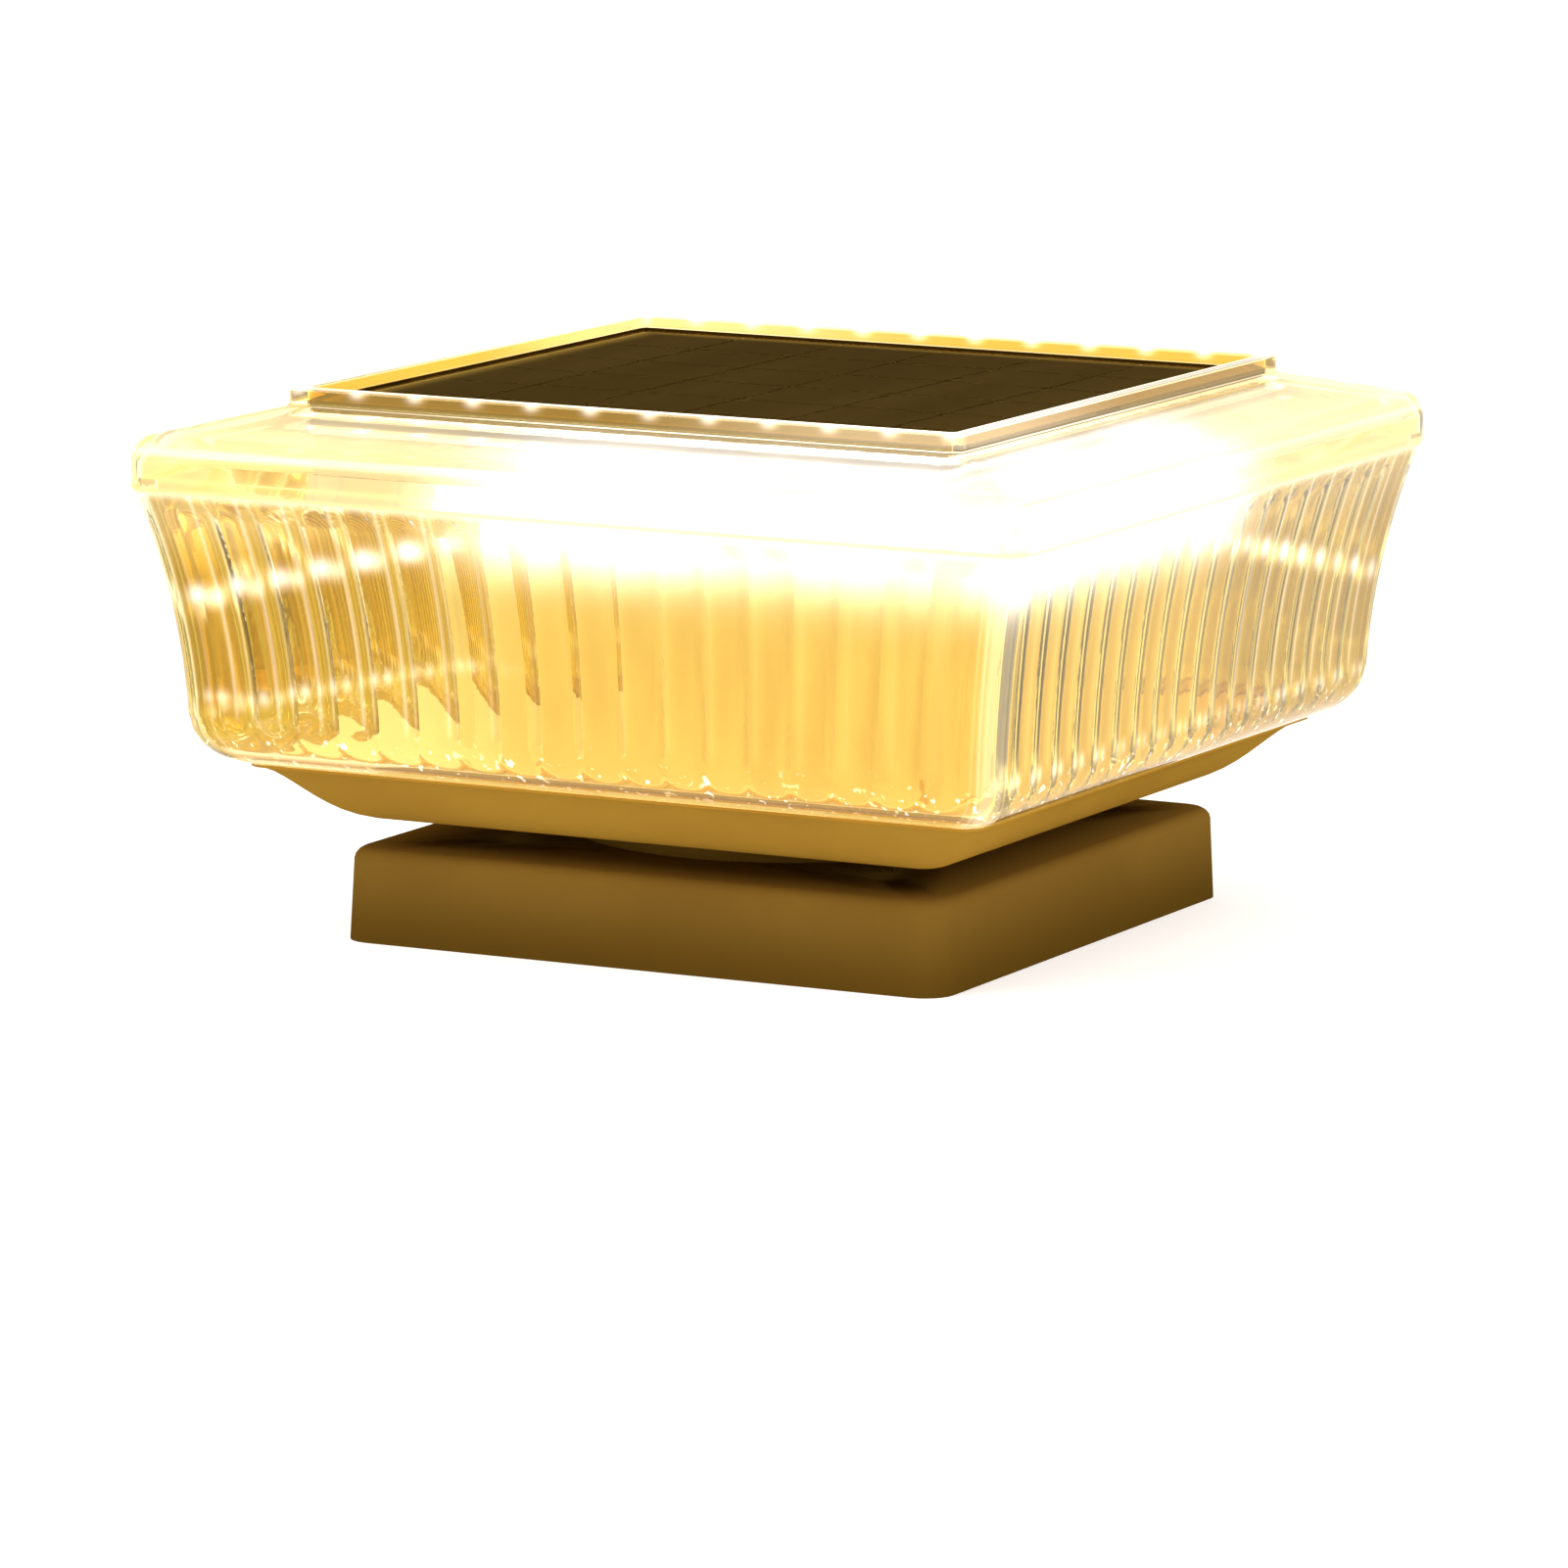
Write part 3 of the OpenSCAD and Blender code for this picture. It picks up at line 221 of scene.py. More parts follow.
def make_camera():
    """Stands the camera off the base's middle and tilts it up, so that it needs next to no shift."""
    azimuth, height = math.radians(CAMERA_AZIMUTH), math.radians(CAMERA_HEIGHT)
    back = Vector((math.cos(height) * math.sin(azimuth), -math.cos(height) * math.cos(azimuth),
                   math.sin(height)))
    data = bpy.data.cameras.new("camera")
    data.lens = CAMERA_LENS
    data.sensor_width = SENSOR
    data.shift_x = SHIFT_X
    data.clip_end = CLIP_END
    camera = bpy.data.objects.new("camera", data)
    turn = back.to_track_quat("Z", "Y").to_matrix()
    tilt = Matrix.Rotation(math.radians(CAMERA_TILT), 3, "X")
    roll = Matrix.Rotation(math.radians(CAMERA_ROLL), 3, "Z")
    camera.matrix_world = Matrix.Translation(back * CAMERA_DISTANCE) @ (turn @ tilt @ roll).to_4x4()
    bpy.context.scene.collection.objects.link(camera)
    bpy.context.scene.camera = camera


def add_mesh(name, points, faces, sharp=None):
    """A mesh object from an array of points and an array of faces, smooth but for its sharp edges."""
    mesh = bpy.data.meshes.new(name)
    mesh.from_pydata(np.asarray(points).reshape(-1, 3).tolist(), [], faces)
    mesh.validate()
    mesh.shade_smooth()
    if sharp is not None:
        mesh.set_sharp_from_angle(angle=math.radians(sharp))
    piece = bpy.data.objects.new(name, mesh)
    bpy.context.scene.collection.objects.link(piece)
    return piece


def grid_faces(rows, columns):
    """Quads of a grid that closes on itself both ways."""
    i = np.arange(rows)[:, None]
    j = np.arange(columns)[None, :]
    after_i, after_j = (i + 1) % rows, (j + 1) % columns
    quads = np.stack([i * columns + j, i * columns + after_j,
                      after_i * columns + after_j, after_i * columns + j], -1)
    return quads.reshape(-1, 4).tolist()


def side_shares(ribs, steps):
    """Shares from 0 to 1 along a side's ribbed stretch, steps to a rib, and each one's rib height:
    the absolute sine of half a turn a rib, so that the ribs meet in cusps."""
    share = np.linspace(0, 1, ribs * steps + 1)
    return share, np.abs(np.sin(np.pi * ribs * share))


def square_rings(halves, radii, heights, depths, margin, share, wave):
    """Rounded squares as rows of points. A corner is a quarter circle. Between two corners the side
    runs at the half width, less the depth times the wave over its ribbed stretch."""
    half, radius, z, depth = (np.asarray(a, float)[:, None] for a in (halves, radii, heights, depths))
    turn = np.linspace(0, math.pi / 2, CORNER_STEPS + 1)[None, :]
    reach = half - margin
    along = reach * (1 - 2 * share[None, :])
    out = half - depth * wave[None, :]
    x = np.concatenate([half - radius + radius * np.cos(turn), along], 1)
    y = np.concatenate([half - radius + radius * np.sin(turn), out], 1)
    quarters = [(x, y), (-y, x), (-x, -y), (y, -x)]
    px = np.concatenate([q[0] for q in quarters], 1)
    py = np.concatenate([q[1] for q in quarters], 1)
    return np.stack([px, py, np.broadcast_to(z, px.shape)], -1)


def section(*stretches):
    """Joins stretches of a section, each an array with the columns half width, corner radius, height
    and rib depth."""
    return np.concatenate([np.asarray(s, float).reshape(-1, 4) for s in stretches])


def arc_stretch(centre_half, centre_z, radius, start, end, steps, corner_r, follow=0.0):
    """A circular stretch of a section from one angle to another, in degrees from outwards. The corner
    radius changes by the given share of the way out."""
    a = np.radians(np.linspace(start, end, steps))
    half = centre_half + radius * np.cos(a)
    corner = corner_r + follow * (half - centre_half - radius)
    return np.stack([half, corner, centre_z + radius * np.sin(a), np.zeros_like(a)], -1)


def level(half, corner_r, z):
    """One point of a section, without a rib."""
    return [[half, corner_r, z, 0]]


def flare(t):
    """Half width of the shade above its bend: it widens with a quarter of t and three quarters of t
    squared."""
    return BEND_HALF + (SHADE_TOP_HALF - BEND_HALF) * t * (1 + 3 * t) / 4


def smooth_step(low, high, value):
    t = np.clip((value - low) / (high - low), 0, 1)
    return t * t * (3 - 2 * t)


def make_shade():
    """The section goes up the turned-in foot and the flare, over the seam face, down the ribbed inner
    face and back along the foot flange. Each rib swells in from nothing under the seam and runs out
    in the foot's turn, with the square of what is left of it."""
    bend_z = LIP_Z + TURN_R
    t = np.linspace(0, 1, FLARE_STEPS)
    t_in = np.linspace(1, 0, INNER_STEPS)
    inner_z = bend_z + (SEAM_Z - bend_z) * t_in
    rise = smooth_step(*RIB_SWELL, t_in)
    outer_turn = arc_stretch(BEND_HALF - TURN_R, bend_z, TURN_R, TURN_START, TURN_END, TURN_STEPS,
                             TURN_CORNER_R)
    outer = np.stack([flare(t), np.full_like(t, SHADE_CORNER_R), bend_z + (SEAM_Z - bend_z) * t,
                      0 * t], -1)
    inner = np.stack([flare(t_in) - WALL, np.full_like(t_in, SHADE_CORNER_R - WALL), inner_z,
                      RIB_DEPTH * rise], -1)
    inner_turn = arc_stretch(BEND_HALF - TURN_R, bend_z, TURN_R - FOOT_FLANGE, TURN_END, TURN_START,
                             TURN_STEPS, TURN_CORNER_R - WALL)
    run_out = np.linspace(1, 0, TURN_STEPS) ** 2
    inner_turn[:, 3] = RIB_DEPTH * run_out * (np.arange(TURN_STEPS) < TURN_STEPS // 2)
    foot = level(outer_turn[0, 0], TURN_CORNER_R, LIP_Z)
    inner_foot = section(level(SEAT_HALF, SEAT_CORNER_R, LIP_Z + FOOT_FLANGE),
                         level(SEAT_HALF, SEAT_CORNER_R, LIP_Z))
    rows = section(foot, outer_turn, outer, inner, inner_turn, inner_foot)
    share, wave = side_shares(RIBS, RIB_STEPS)
    rings = square_rings(*rows.T, RIB_MARGIN, share, wave)
    piece = add_mesh("clear_ribbed_shade", rings, grid_faces(*rings.shape[:2]), SHARP_ANGLE)
    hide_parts("shade")
    return piece


def make_cover():
    """The section starts at the recess floor, climbs the rim's inside, and goes over the rim, down the
    shoulder, fold and skirt, in along the ledge and back under the shoulder to the tray."""
    edge = RIM_EDGE_R
    recess = section(level(RECESS_HALF - FLOOR_LAP, RECESS_CORNER_R, RECESS_Z),
                     level(RECESS_HALF, RECESS_CORNER_R, RECESS_Z),
                     level(RECESS_HALF, RECESS_CORNER_R, RIM_Z - RECESS_CHAMFER),
                     level(RECESS_HALF + RECESS_CHAMFER, RECESS_CORNER_R + RECESS_CHAMFER, RIM_Z))
    rim_edge = arc_stretch(RIM_HALF - edge, RIM_Z - edge, edge, *RIM_ARC, RIM_CORNER_R, 0.5)
    fillet = arc_stretch(RIM_HALF + RIM_FILLET_R, SHOULDER_Z + RIM_FILLET_R, RIM_FILLET_R, *FILLET_ARC,
                         RIM_CORNER_R + 2 * RIM_FILLET_R, 1)
    fold = arc_stretch(COVER_HALF - FOLD_R, FOLD_Z - FOLD_DROP, FOLD_R, *FOLD_ARC, COVER_CORNER_R, 1)
    share = np.linspace(0, 1, SHOULDER_STEPS)[1:-1]
    shoulder = fillet[-1] + (fold[0] - fillet[-1]) * share[:, None]
    skirt = section(level(COVER_HALF, COVER_CORNER_R, SEAM_Z + SKIRT_CHAMFER_H),
                    level(COVER_HALF - SKIRT_CHAMFER, COVER_CORNER_R, SEAM_Z))
    inner_half, inner_r = COVER_HALF - WALL, COVER_CORNER_R - WALL
    inside = section(level(LEDGE_IN_HALF, LEDGE_CORNER_R, SEAM_Z),
                     level(LEDGE_IN_HALF, LEDGE_CORNER_R, SEAM_Z + LEDGE_H),
                     level(inner_half, inner_r, SEAM_Z + LEDGE_H),
                     level(inner_half, inner_r, FOLD_Z - FOLD_DROP),
                     level(inner_half - INNER_SLOPE, inner_r, FOLD_Z),
                     level(TRAY_SEAT_HALF, inner_r, TRAY_TOP_Z),
                     level(RECESS_HALF - FLOOR_LAP, RECESS_CORNER_R, TRAY_TOP_Z))
    rows = section(recess, rim_edge, fillet, shoulder, fold, skirt, inside)[::-1]
    share, wave = side_shares(1, COVER_SIDE_STEPS)
    rings = square_rings(*rows.T, COVER_MARGIN, share, wave)
    piece = add_mesh("clear_top_cover", rings, grid_faces(*rings.shape[:2]), SHARP_ANGLE)
    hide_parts("top_cover")
    return piece


def smooth_copy(node, name):
    """A CAD node's own mesh, with its loose triangles joined and its round faces smooth."""
    mesh = nodes[node].data.copy()
    mesh.name = name
    joined = bmesh.new()
    joined.from_mesh(mesh)
    bmesh.ops.remove_doubles(joined, verts=joined.verts, dist=1e-6)
    joined.to_mesh(mesh)
    joined.free()
    mesh.shade_smooth()
    mesh.set_sharp_from_angle(angle=math.radians(SHARP_ANGLE))
    piece = bpy.data.objects.new(name, mesh)
    bpy.context.scene.collection.objects.link(piece)
    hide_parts(node)
    return piece


def srgb(r, g, b):
    """Linear colour of a colour given as 0 to 255."""
    c = np.array([r, g, b]) / 255
    return tuple(np.where(c <= 0.04045, c / 12.92, ((c + 0.055) / 1.055) ** 2.4)) + (1,)


class Finish:
    """A material with its nodes: short calls add a node, join it and give back its output."""

    def __init__(self, name, **settings):
        self.material = bpy.data.materials.new(name)
        self.material.use_nodes = True
        self.tree = self.material.node_tree
        self.shader = self.tree.nodes["Principled BSDF"]
        self.output = self.tree.nodes["Material Output"]
        for key, value in settings.items():
            self.shader.inputs[key.replace("_", " ")].default_value = value

    def node(self, kind, inputs=None, **settings):
        made = self.tree.nodes.new("ShaderNode" + kind)
        for key, value in settings.items():
            setattr(made, key, value)
        for key, value in (inputs or {}).items():
            self.join(made.inputs[key], value)
        return made

    def join(self, socket, value):
        """Links an output to the socket, or sets the socket to a plain value."""
        if isinstance(value, bpy.types.NodeSocket):
            self.tree.links.new(value, socket)
        else:
            socket.default_value = value

    def give(self, socket_name, value):
        """Joins a value to one of the shader's own sockets."""
        self.join(self.shader.inputs[socket_name], value)

    def place(self):
        return self.node("TexCoord").outputs["Object"]

    def axes(self):
        """The point's x, y and z on the object."""
        return self.node("SeparateXYZ", {0: self.place()}).outputs

    def height(self):
        return self.axes()[2]

    def normal(self):
        """The three parts of the surface's direction."""
        return self.node("SeparateXYZ", {0: self.node("NewGeometry").outputs["Normal"]}).outputs

    def maths(self, operation, *values, clamp=False):
        inputs = dict(enumerate(values))
        return self.node("Math", inputs, operation=operation, use_clamp=clamp).outputs[0]

    def plus(self, first, *others):
        for other in others:
            first = self.maths("ADD", first, other)
        return first

    def times(self, first, *others):
        for other in others:
            first = self.maths("MULTIPLY", first, other)
        return first

    def minus(self, a, b):
        return self.maths("SUBTRACT", a, b)

    def over(self, a, b):
        return self.maths("DIVIDE", a, b)

    def square(self):
        """How far the point lies along its side from the side's middle, and the half width of the
        square through it: the smaller and the larger of x and y without their signs."""
        x, y = self.axes()[:2]
        far_x, far_y = self.maths("ABSOLUTE", x), self.maths("ABSOLUTE", y)
        return self.maths("MINIMUM", far_x, far_y), self.maths("MAXIMUM", far_x, far_y)

    def front(self):
        """One on the front and back sides, where y is further out than x, and nothing elsewhere."""
        x, y = self.axes()[:2]
        return self.maths("GREATER_THAN", self.maths("ABSOLUTE", y), self.maths("ABSOLUTE", x))

    def ramp(self, value, low, high, to_low=0.0, to_high=1.0, smooth=True):
        """Goes from one value at low to the other at high, and stays level beyond them. Low may be
        the larger of the two."""
        kind = "SMOOTHSTEP" if smooth else "LINEAR"
        inputs = {"Value": value, "From Min": low, "From Max": high, "To Min": to_low, "To Max": to_high}
        return self.node("MapRange", inputs, interpolation_type=kind).outputs[0]

    def between(self, share, at_none, at_one):
        """Runs straight from the first value to the second as the share goes from 0 to 1."""
        return self.ramp(share, 0.0, 1.0, at_none, at_one, smooth=False)

    def bell(self, value, middle, width):
        """A bell curve: the exponential of minus the square of the distance over the width."""
        off = self.over(self.minus(value, middle), width)
        return self.maths("EXPONENT", self.times(off, off, -1.0))

    def noise(self, scale, detail=2.0, stretch=(1, 1, 1)):
        where = self.node("Mapping", {"Vector": self.place(), "Scale": stretch}).outputs[0]
        return self.node("TexNoise", {"Vector": where, "Scale": scale, "Detail": detail}).outputs[0]

    def patches(self, low, high, scale, detail=2.0, stretch=(1, 1, 1)):
        """Noise whose usual span is spread from the low value to the high one."""
        return self.ramp(self.noise(scale, detail, stretch), *NOISE_SPAN, low, high)

    def blend(self, share, a, b):
        made = self.node("Mix", data_type="RGBA")
        self.join(made.inputs[0], share)
        self.join(made.inputs[6], a)
        self.join(made.inputs[7], b)
        return made.outputs[2]

    def bump(self, height, distance, strength):
        inputs = {"Height": height, "Distance": distance, "Strength": strength}
        self.give("Normal", self.node("Bump", inputs).outputs[0])

    def let_lamps_through(self, tint):
        """Lamps shine through the clear plastic: for their shadow rays it is a tinted pane."""
        path = self.node("LightPath")
        pane = self.node("BsdfTransparent", {"Color": tint})
        made = self.node("MixShader", {0: path.outputs["Is Shadow Ray"], 1: self.shader.outputs[0],
                                       2: pane.outputs[0]})
        self.join(self.output.inputs["Surface"], made.outputs[0])


def matt_plastic(name, colour, worn, roughness):
    """Matt moulded plastic: a fine pebbled grain, patches a little darker, and uneven gloss. Gives the
    finish and its colour, which still has to be joined to the shader."""
    f = Finish(name, Specular_IOR_Level=0.0)
    f.give("Roughness", f.patches(roughness - 0.06, roughness + 0.06, scale=60, detail=3))
    f.bump(f.noise(scale=900), GRAIN_DEPTH, 0.6)
    return f, f.blend(f.ramp(f.noise(scale=18, detail=4), 0.35, 0.7), colour, worn)


def base_plastic():
    """Brown matt plastic, with painted shade: deeper brown towards its foot, paler towards its top edge.
    """
    f, colour = matt_plastic("base_plastic", srgb(130, 98, 39), srgb(122, 91, 35), 0.6)
    # Painted shade: the colour darkens from the top edge down to the foot
    f.give("Base Color", f.blend(f.ramp(f.height(), 0.0, BASE_TOP_Z), srgb(92, 67, 20), colour))
    return f.material


def pan_plastic():
    """Golden brown matt plastic. Inside the bowl its floor and its inner side, which faces towards the
    axis, glow with the light that falls on them."""
    f, colour = matt_plastic("pan_plastic", srgb(184, 142, 54), srgb(176, 134, 50), 0.55)
    f.give("Base Color", colour)
    x, y, z = f.axes()
    nx, ny, nz = f.normal()
    outwards = f.plus(f.times(nx, x), f.times(ny, y))
    inwards = f.maths("ADD", f.ramp(outwards, *PAN_FACES_INWARDS), f.ramp(nz, *PAN_FACES_UP), clamp=True)
    f.give("Emission Color", PALE_LIGHT)
    f.give("Emission Strength", f.times(inwards, f.ramp(z, *PAN_FLOOR), PAN_FLOOR_STRENGTH))
    return f.material


def painted_shade_share(f):
    """Share of the walls under painted shade: it grows from nothing to one with x times y, so it
    takes in the sides' halves next to two opposite corners, and a little more on the sides across x."""
    x, y = f.axes()[:2]
    across = f.maths("GREATER_THAN", f.maths("ABSOLUTE", x), f.maths("ABSOLUTE", y))
    product = f.plus(f.times(x, y), f.times(across, DARK_MORE_ACROSS_X))
    return f.ramp(product, DARK_START, DARK_FULL)


class RibPlace:
    """Where a point of the shade lies. z is its height, share its share of its side's ribbed stretch,
    counted from the side's middle, and corner how near it is to the corner, which is one. meeting is
    how many ribs it is from where two ribs meet: nothing there and a half on a rib's crest. foot is the
    height of the ribs' feet, higher towards the middle of the front and back sides."""

    def __init__(self, f):
        self.z = f.height()
        self.front = f.front()
        # The point's share of painted shade
        self.dark = painted_shade_share(f)
        along, half = f.square()
        self.corner = f.over(along, half)
        self.share = f.over(along, f.minus(half, RIB_MARGIN - WALL))
        self.meeting = f.maths("PINGPONG", f.times(self.share, RIBS / 2), 0.5)
        more = f.ramp(self.share, *RIB_FOOT_SHARES, *RIB_FOOT_MORE_ON_FRONT, smooth=False)
        self.foot = f.plus(RIB_FOOT_Z, f.times(self.front, more))


def shade_glow(f, at):
    """Light caught in the shade, as its strength and its whiteness. White are a cloudy band under the
    seam, thin lines where two ribs meet, a falling row of spots, one to a rib, a bead at each rib's
    foot, the corner edges, the seam and sparks below the ribs. Golden are broad lines where two ribs
    meet, a line along the lip and a veil that is strongest at the foot."""
    ribbed = f.times(f.ramp(at.z, *RIBS_RUN_OUT), f.ramp(at.share, 1.0, 0.99))
    uneven = f.ramp(f.noise(scale=45, detail=1), 0.35, 0.65, 0.55, 1.25)
    clouds = f.patches(0.5, 1.2, scale=26, detail=3, stretch=(1, 1, 0.6))
    hot = f.times(f.bell(at.z, HOT_Z, HOT_WIDTH), f.between(at.dark, *HOT_STRENGTHS), clouds)
    lines = f.times(f.bell(at.meeting, 0.0, LINE_WIDTH), f.between(at.dark, *LINE_STRENGTHS), ribbed)
    row = f.plus(f.between(at.share, *SPOT_ROW),
                 f.times(at.front, f.between(at.share, *SPOT_ROW_MORE_ON_FRONT)))
    spots = f.times(f.bell(f.minus(at.z, row), 0.0, SPOT_HEIGHT), f.bell(at.meeting, 0.5, SPOT_WIDTH),
                    at.dark, uneven)
    bright_front = f.times(at.front, f.minus(1.0, at.dark))
    beads = f.times(f.bell(f.minus(at.z, at.foot), 0.0, BEAD_HEIGHT),
                    f.bell(at.meeting, BEAD_PLACE, BEAD_WIDTH),
                    f.between(bright_front, BEAD_STRENGTH, 0.0), uneven)
    edge_line = f.times(f.bell(at.corner, EDGE_LINE, EDGE_LINE_WIDTH), EDGE_LINE_STRENGTH)
    edge_bar = f.times(f.ramp(at.corner, *EDGE_BAR), f.between(at.dark, *EDGE_BAR_STRENGTHS))
    seam = f.times(f.bell(at.z, SEAM_Z, SEAM_LINE_WIDTH), SEAM_LINE_STRENGTH)
    sparks = f.times(f.ramp(f.noise(scale=420, detail=1), 0.66, 0.72),
                     f.bell(at.z, SPARKS_Z, SPARKS_HEIGHT))
    bright = f.plus(hot, lines, spots, beads, edge_line, edge_bar, seam, sparks)
    gold_lines = f.times(f.bell(at.meeting, 0.0, GOLD_LINE_WIDTH), ribbed,
                         f.between(at.front, *GOLD_LINE_STRENGTHS_SIDE_FRONT))
    lip = f.times(f.bell(at.z, LIP_LINE_Z, LIP_LINE_HEIGHT), LIP_LINE_STRENGTH)
    strength = f.plus(bright, f.ramp(at.z, *VEIL_HEIGHTS, *VEIL_STRENGTHS), gold_lines, lip)
    return strength, f.over(bright, strength)


def shade_tint(f, at):
    """The shade's colour: warm, with painted shade deeper on the sides across x, in bands along the ribs
    and at the corners, a painted shadow along the lip and painted light clearing the band under the seam."""
    streaks = f.node("TexNoise", {"W": f.times(at.share, 60.0), "Scale": 1.0, "Detail": 2.0},
                     noise_dimensions="1D").outputs[0]
    # Painted shade: deep bands on the ribs' crests and at the corners, under the painted shade
    band = f.times(f.bell(at.meeting, 0.5, DEEP_BAND_WIDTH), f.ramp(streaks, 0.3, 0.6, 0.35, 1.0), at.dark,
                   f.ramp(f.minus(at.z, at.foot), 0.0, FOOT_EDGE_HEIGHT))
    edge = f.times(f.ramp(at.corner, *DEEP_EDGE), at.dark)
    # Painted shade: the sides across x are tinted deeper than the front and back
    side = f.blend(at.dark, srgb(214, 184, 78), srgb(180, 150, 50))
    front = f.blend(at.dark, srgb(230, 204, 136), srgb(242, 228, 174))
    deep = f.blend(at.front, srgb(172, 140, 44), srgb(198, 178, 130))
    tint = f.blend(f.maths("MAXIMUM", band, edge), f.blend(at.front, side, front), deep)
    # Painted shadow: a brown line just above the lip
    tint = f.blend(f.bell(at.z, LIP_SHADOW_Z, LIP_SHADOW_HEIGHT), tint, srgb(158, 115, 52))
    # Painted light: the tint clears to near white in the hot band under the seam
    clear = f.times(f.bell(at.z, CLEAR_Z, CLEAR_HEIGHT), f.between(at.dark, *CLEAR_SHARES))
    return f.blend(clear, tint, srgb(250, 244, 230))


def cover_tint(f):
    """The cover's colour: warm, a little deeper under the painted shade, and painted light in deep gold
    in the walls of the raised rim."""
    z = f.height()
    # Painted light: the walls of the raised rim are tinted deep gold
    wall = f.times(f.ramp(z, *RIM_GOLD_FOOT), f.ramp(z, *RIM_GOLD_TOP))
    # Painted shade: the tint is deeper on the stretches under painted shade
    tint = f.blend(painted_shade_share(f), srgb(250, 242, 216), srgb(246, 230, 184))
    return f.blend(wall, tint, srgb(214, 168, 62))


def cover_glow(f):
    """Light caught in the cover, as its strength and its whiteness. White are clouds on the shoulder
    over the lights, the seam, the fold, the skirt, the rim's top edge with a glint over each light on
    the front and back sides, and the rim's walls towards two opposite corners. Golden are the rim's
    walls and the fillet at their foot, the slope of the stretches under painted shade, a line at the
    ledge and a veil all over."""
    x, y, z = f.axes()
    along, half = f.square()
    dark = painted_shade_share(f)
    clouds = f.patches(0.5, 1.2, scale=22, detail=3)
    shoulder = f.times(f.bell(half, SHOULDER_LIGHT_HALF, SHOULDER_LIGHT_WIDTH), clouds,
                       f.ramp(along, *SHOULDER_MIDDLE, 1.0, SHOULDER_CORNER_SHARE),
                       f.between(dark, *SHOULDER_STRENGTHS), f.ramp(z, *SHOULDER_LIGHT_TOP))
    edges = f.plus(f.bell(z, SEAM_Z, SEAM_EDGE_HEIGHT), f.bell(z, FOLD_Z, FOLD_EDGE_HEIGHT))
    skirt = f.times(f.ramp(z, *SKIRT_TOP), f.ramp(z, *SKIRT_FOOT), f.between(dark, *SKIRT_STRENGTHS))
    off_light = f.minus(f.maths("PINGPONG", along, LIGHT_PITCH / 2), LIGHT_PITCH / 2)
    front = f.ramp(f.minus(f.maths("ABSOLUTE", y), half), GLINT_CORNER, 0.0)
    glint = f.times(f.bell(off_light, 0.0, GLINT_WIDTH), f.bell(z, RIM_Z - GLINT_DROP, GLINT_HEIGHT),
                    front, GLINT_STRENGTH)
    rim_top = f.times(f.ramp(z, *RIM_TOP_EDGE), RIM_TOP_STRENGTH)
    walls = f.ramp(z, *RIM_WALL_FOOT)
    lit_wall = f.ramp(f.times(x, y), *RIM_WALL_LIGHT, 0.0, RIM_WALL_LIGHT_STRENGTH)
    corner = f.times(f.ramp(f.over(along, half), *RIM_CORNER), RIM_CORNER_STRENGTH)
    bright = f.plus(f.times(shoulder, SHOULDER_STRENGTH), f.times(edges, EDGES_STRENGTH), rim_top, glint,
                    skirt, f.times(walls, f.plus(lit_wall, corner)))
    fillet = f.times(f.bell(z, FILLET_LINE_Z, FILLET_LINE_HEIGHT), FILLET_LINE_STRENGTH)
    slope = f.times(f.ramp(half, *SLOPE_START), f.ramp(z, *SLOPE_FOOT), dark, SLOPE_STRENGTH)
    ledge = f.times(f.bell(z, SEAM_Z + LEDGE_H, LEDGE_LINE_HEIGHT), LEDGE_LINE_STRENGTH)
    strength = f.plus(bright, f.times(walls, RIM_WALL_VEIL), fillet, slope, ledge, COVER_VEIL)
    return strength, f.over(bright, strength)


def clear_plastic(name, haze):
    """Clear moulded plastic, faintly wavy, whose gloss is warmed by the light that it holds."""
    f = Finish(name, IOR=1.49, Transmission_Weight=1.0, Specular_Tint=GOLD_LIGHT)
    f.give("Roughness", f.ramp(f.noise(scale=40, detail=3), 0.3, 0.8, haze * 0.6, haze * 1.6))
    f.bump(f.noise(scale=120, detail=3), WAVE_DEPTH, 0.5)
    return f


def hold_light(f, strength, whiteness):
    """The plastic's own light: golden where it is weak, and white where it is strong."""
    f.give("Emission Color", f.blend(whiteness, GOLD_LIGHT, HOT_LIGHT))
    f.give("Emission Strength", strength)


def shade_plastic():
    f = clear_plastic("shade_clear", haze=0.03)
    at = RibPlace(f)
    f.give("Base Color", shade_tint(f, at))
    hold_light(f, *shade_glow(f, at))
    f.let_lamps_through(srgb(214, 190, 112))
    return f.material


def cover_plastic():
    f = clear_plastic("cover_clear", haze=0.06)
    f.give("Base Color", cover_tint(f))
    hold_light(f, *cover_glow(f))
    f.let_lamps_through(srgb(240, 224, 174))
    return f.material


def glowing(name, low_colour, high_colour, strengths, heights=TRAY_HEIGHTS, fade=0.0, roughness=0.5):
    """White plastic inside the head, lit by the strips: its own light goes from the first strength and
    colour to the second between two heights, and loses the given share under the painted shade."""
    f = Finish(name, Roughness=roughness)
    z = f.height()
    f.give("Base Color", srgb(150, 128, 84))
    f.give("Emission Color", f.blend(f.ramp(z, *heights), low_colour, high_colour))
    mottle = f.patches(0.9, 1.1, scale=30)
    f.give("Emission Strength",
           f.times(f.ramp(z, *heights, *strengths), mottle, f.between(painted_shade_share(f), 1.0, 1.0 - fade)))
    f.bump(f.noise(scale=300), RELIEF_DEPTH, 0.4)
    return f.material


def plain(name, colour, other, roughness=0.5, metallic=0.0, scale=80, gloss=0.5):
    """An inner piece's finish: two close shades in fine patches, with a fine relief."""
    f = Finish(name, Metallic=metallic, Specular_IOR_Level=gloss)
    f.give("Base Color", f.blend(f.patches(0.0, 1.0, scale, detail=3), colour, other))
    f.give("Roughness", f.patches(roughness - 0.08, roughness + 0.08, scale * 2))
    f.bump(f.noise(scale * 8), RELIEF_DEPTH, 0.5)
    return f.material


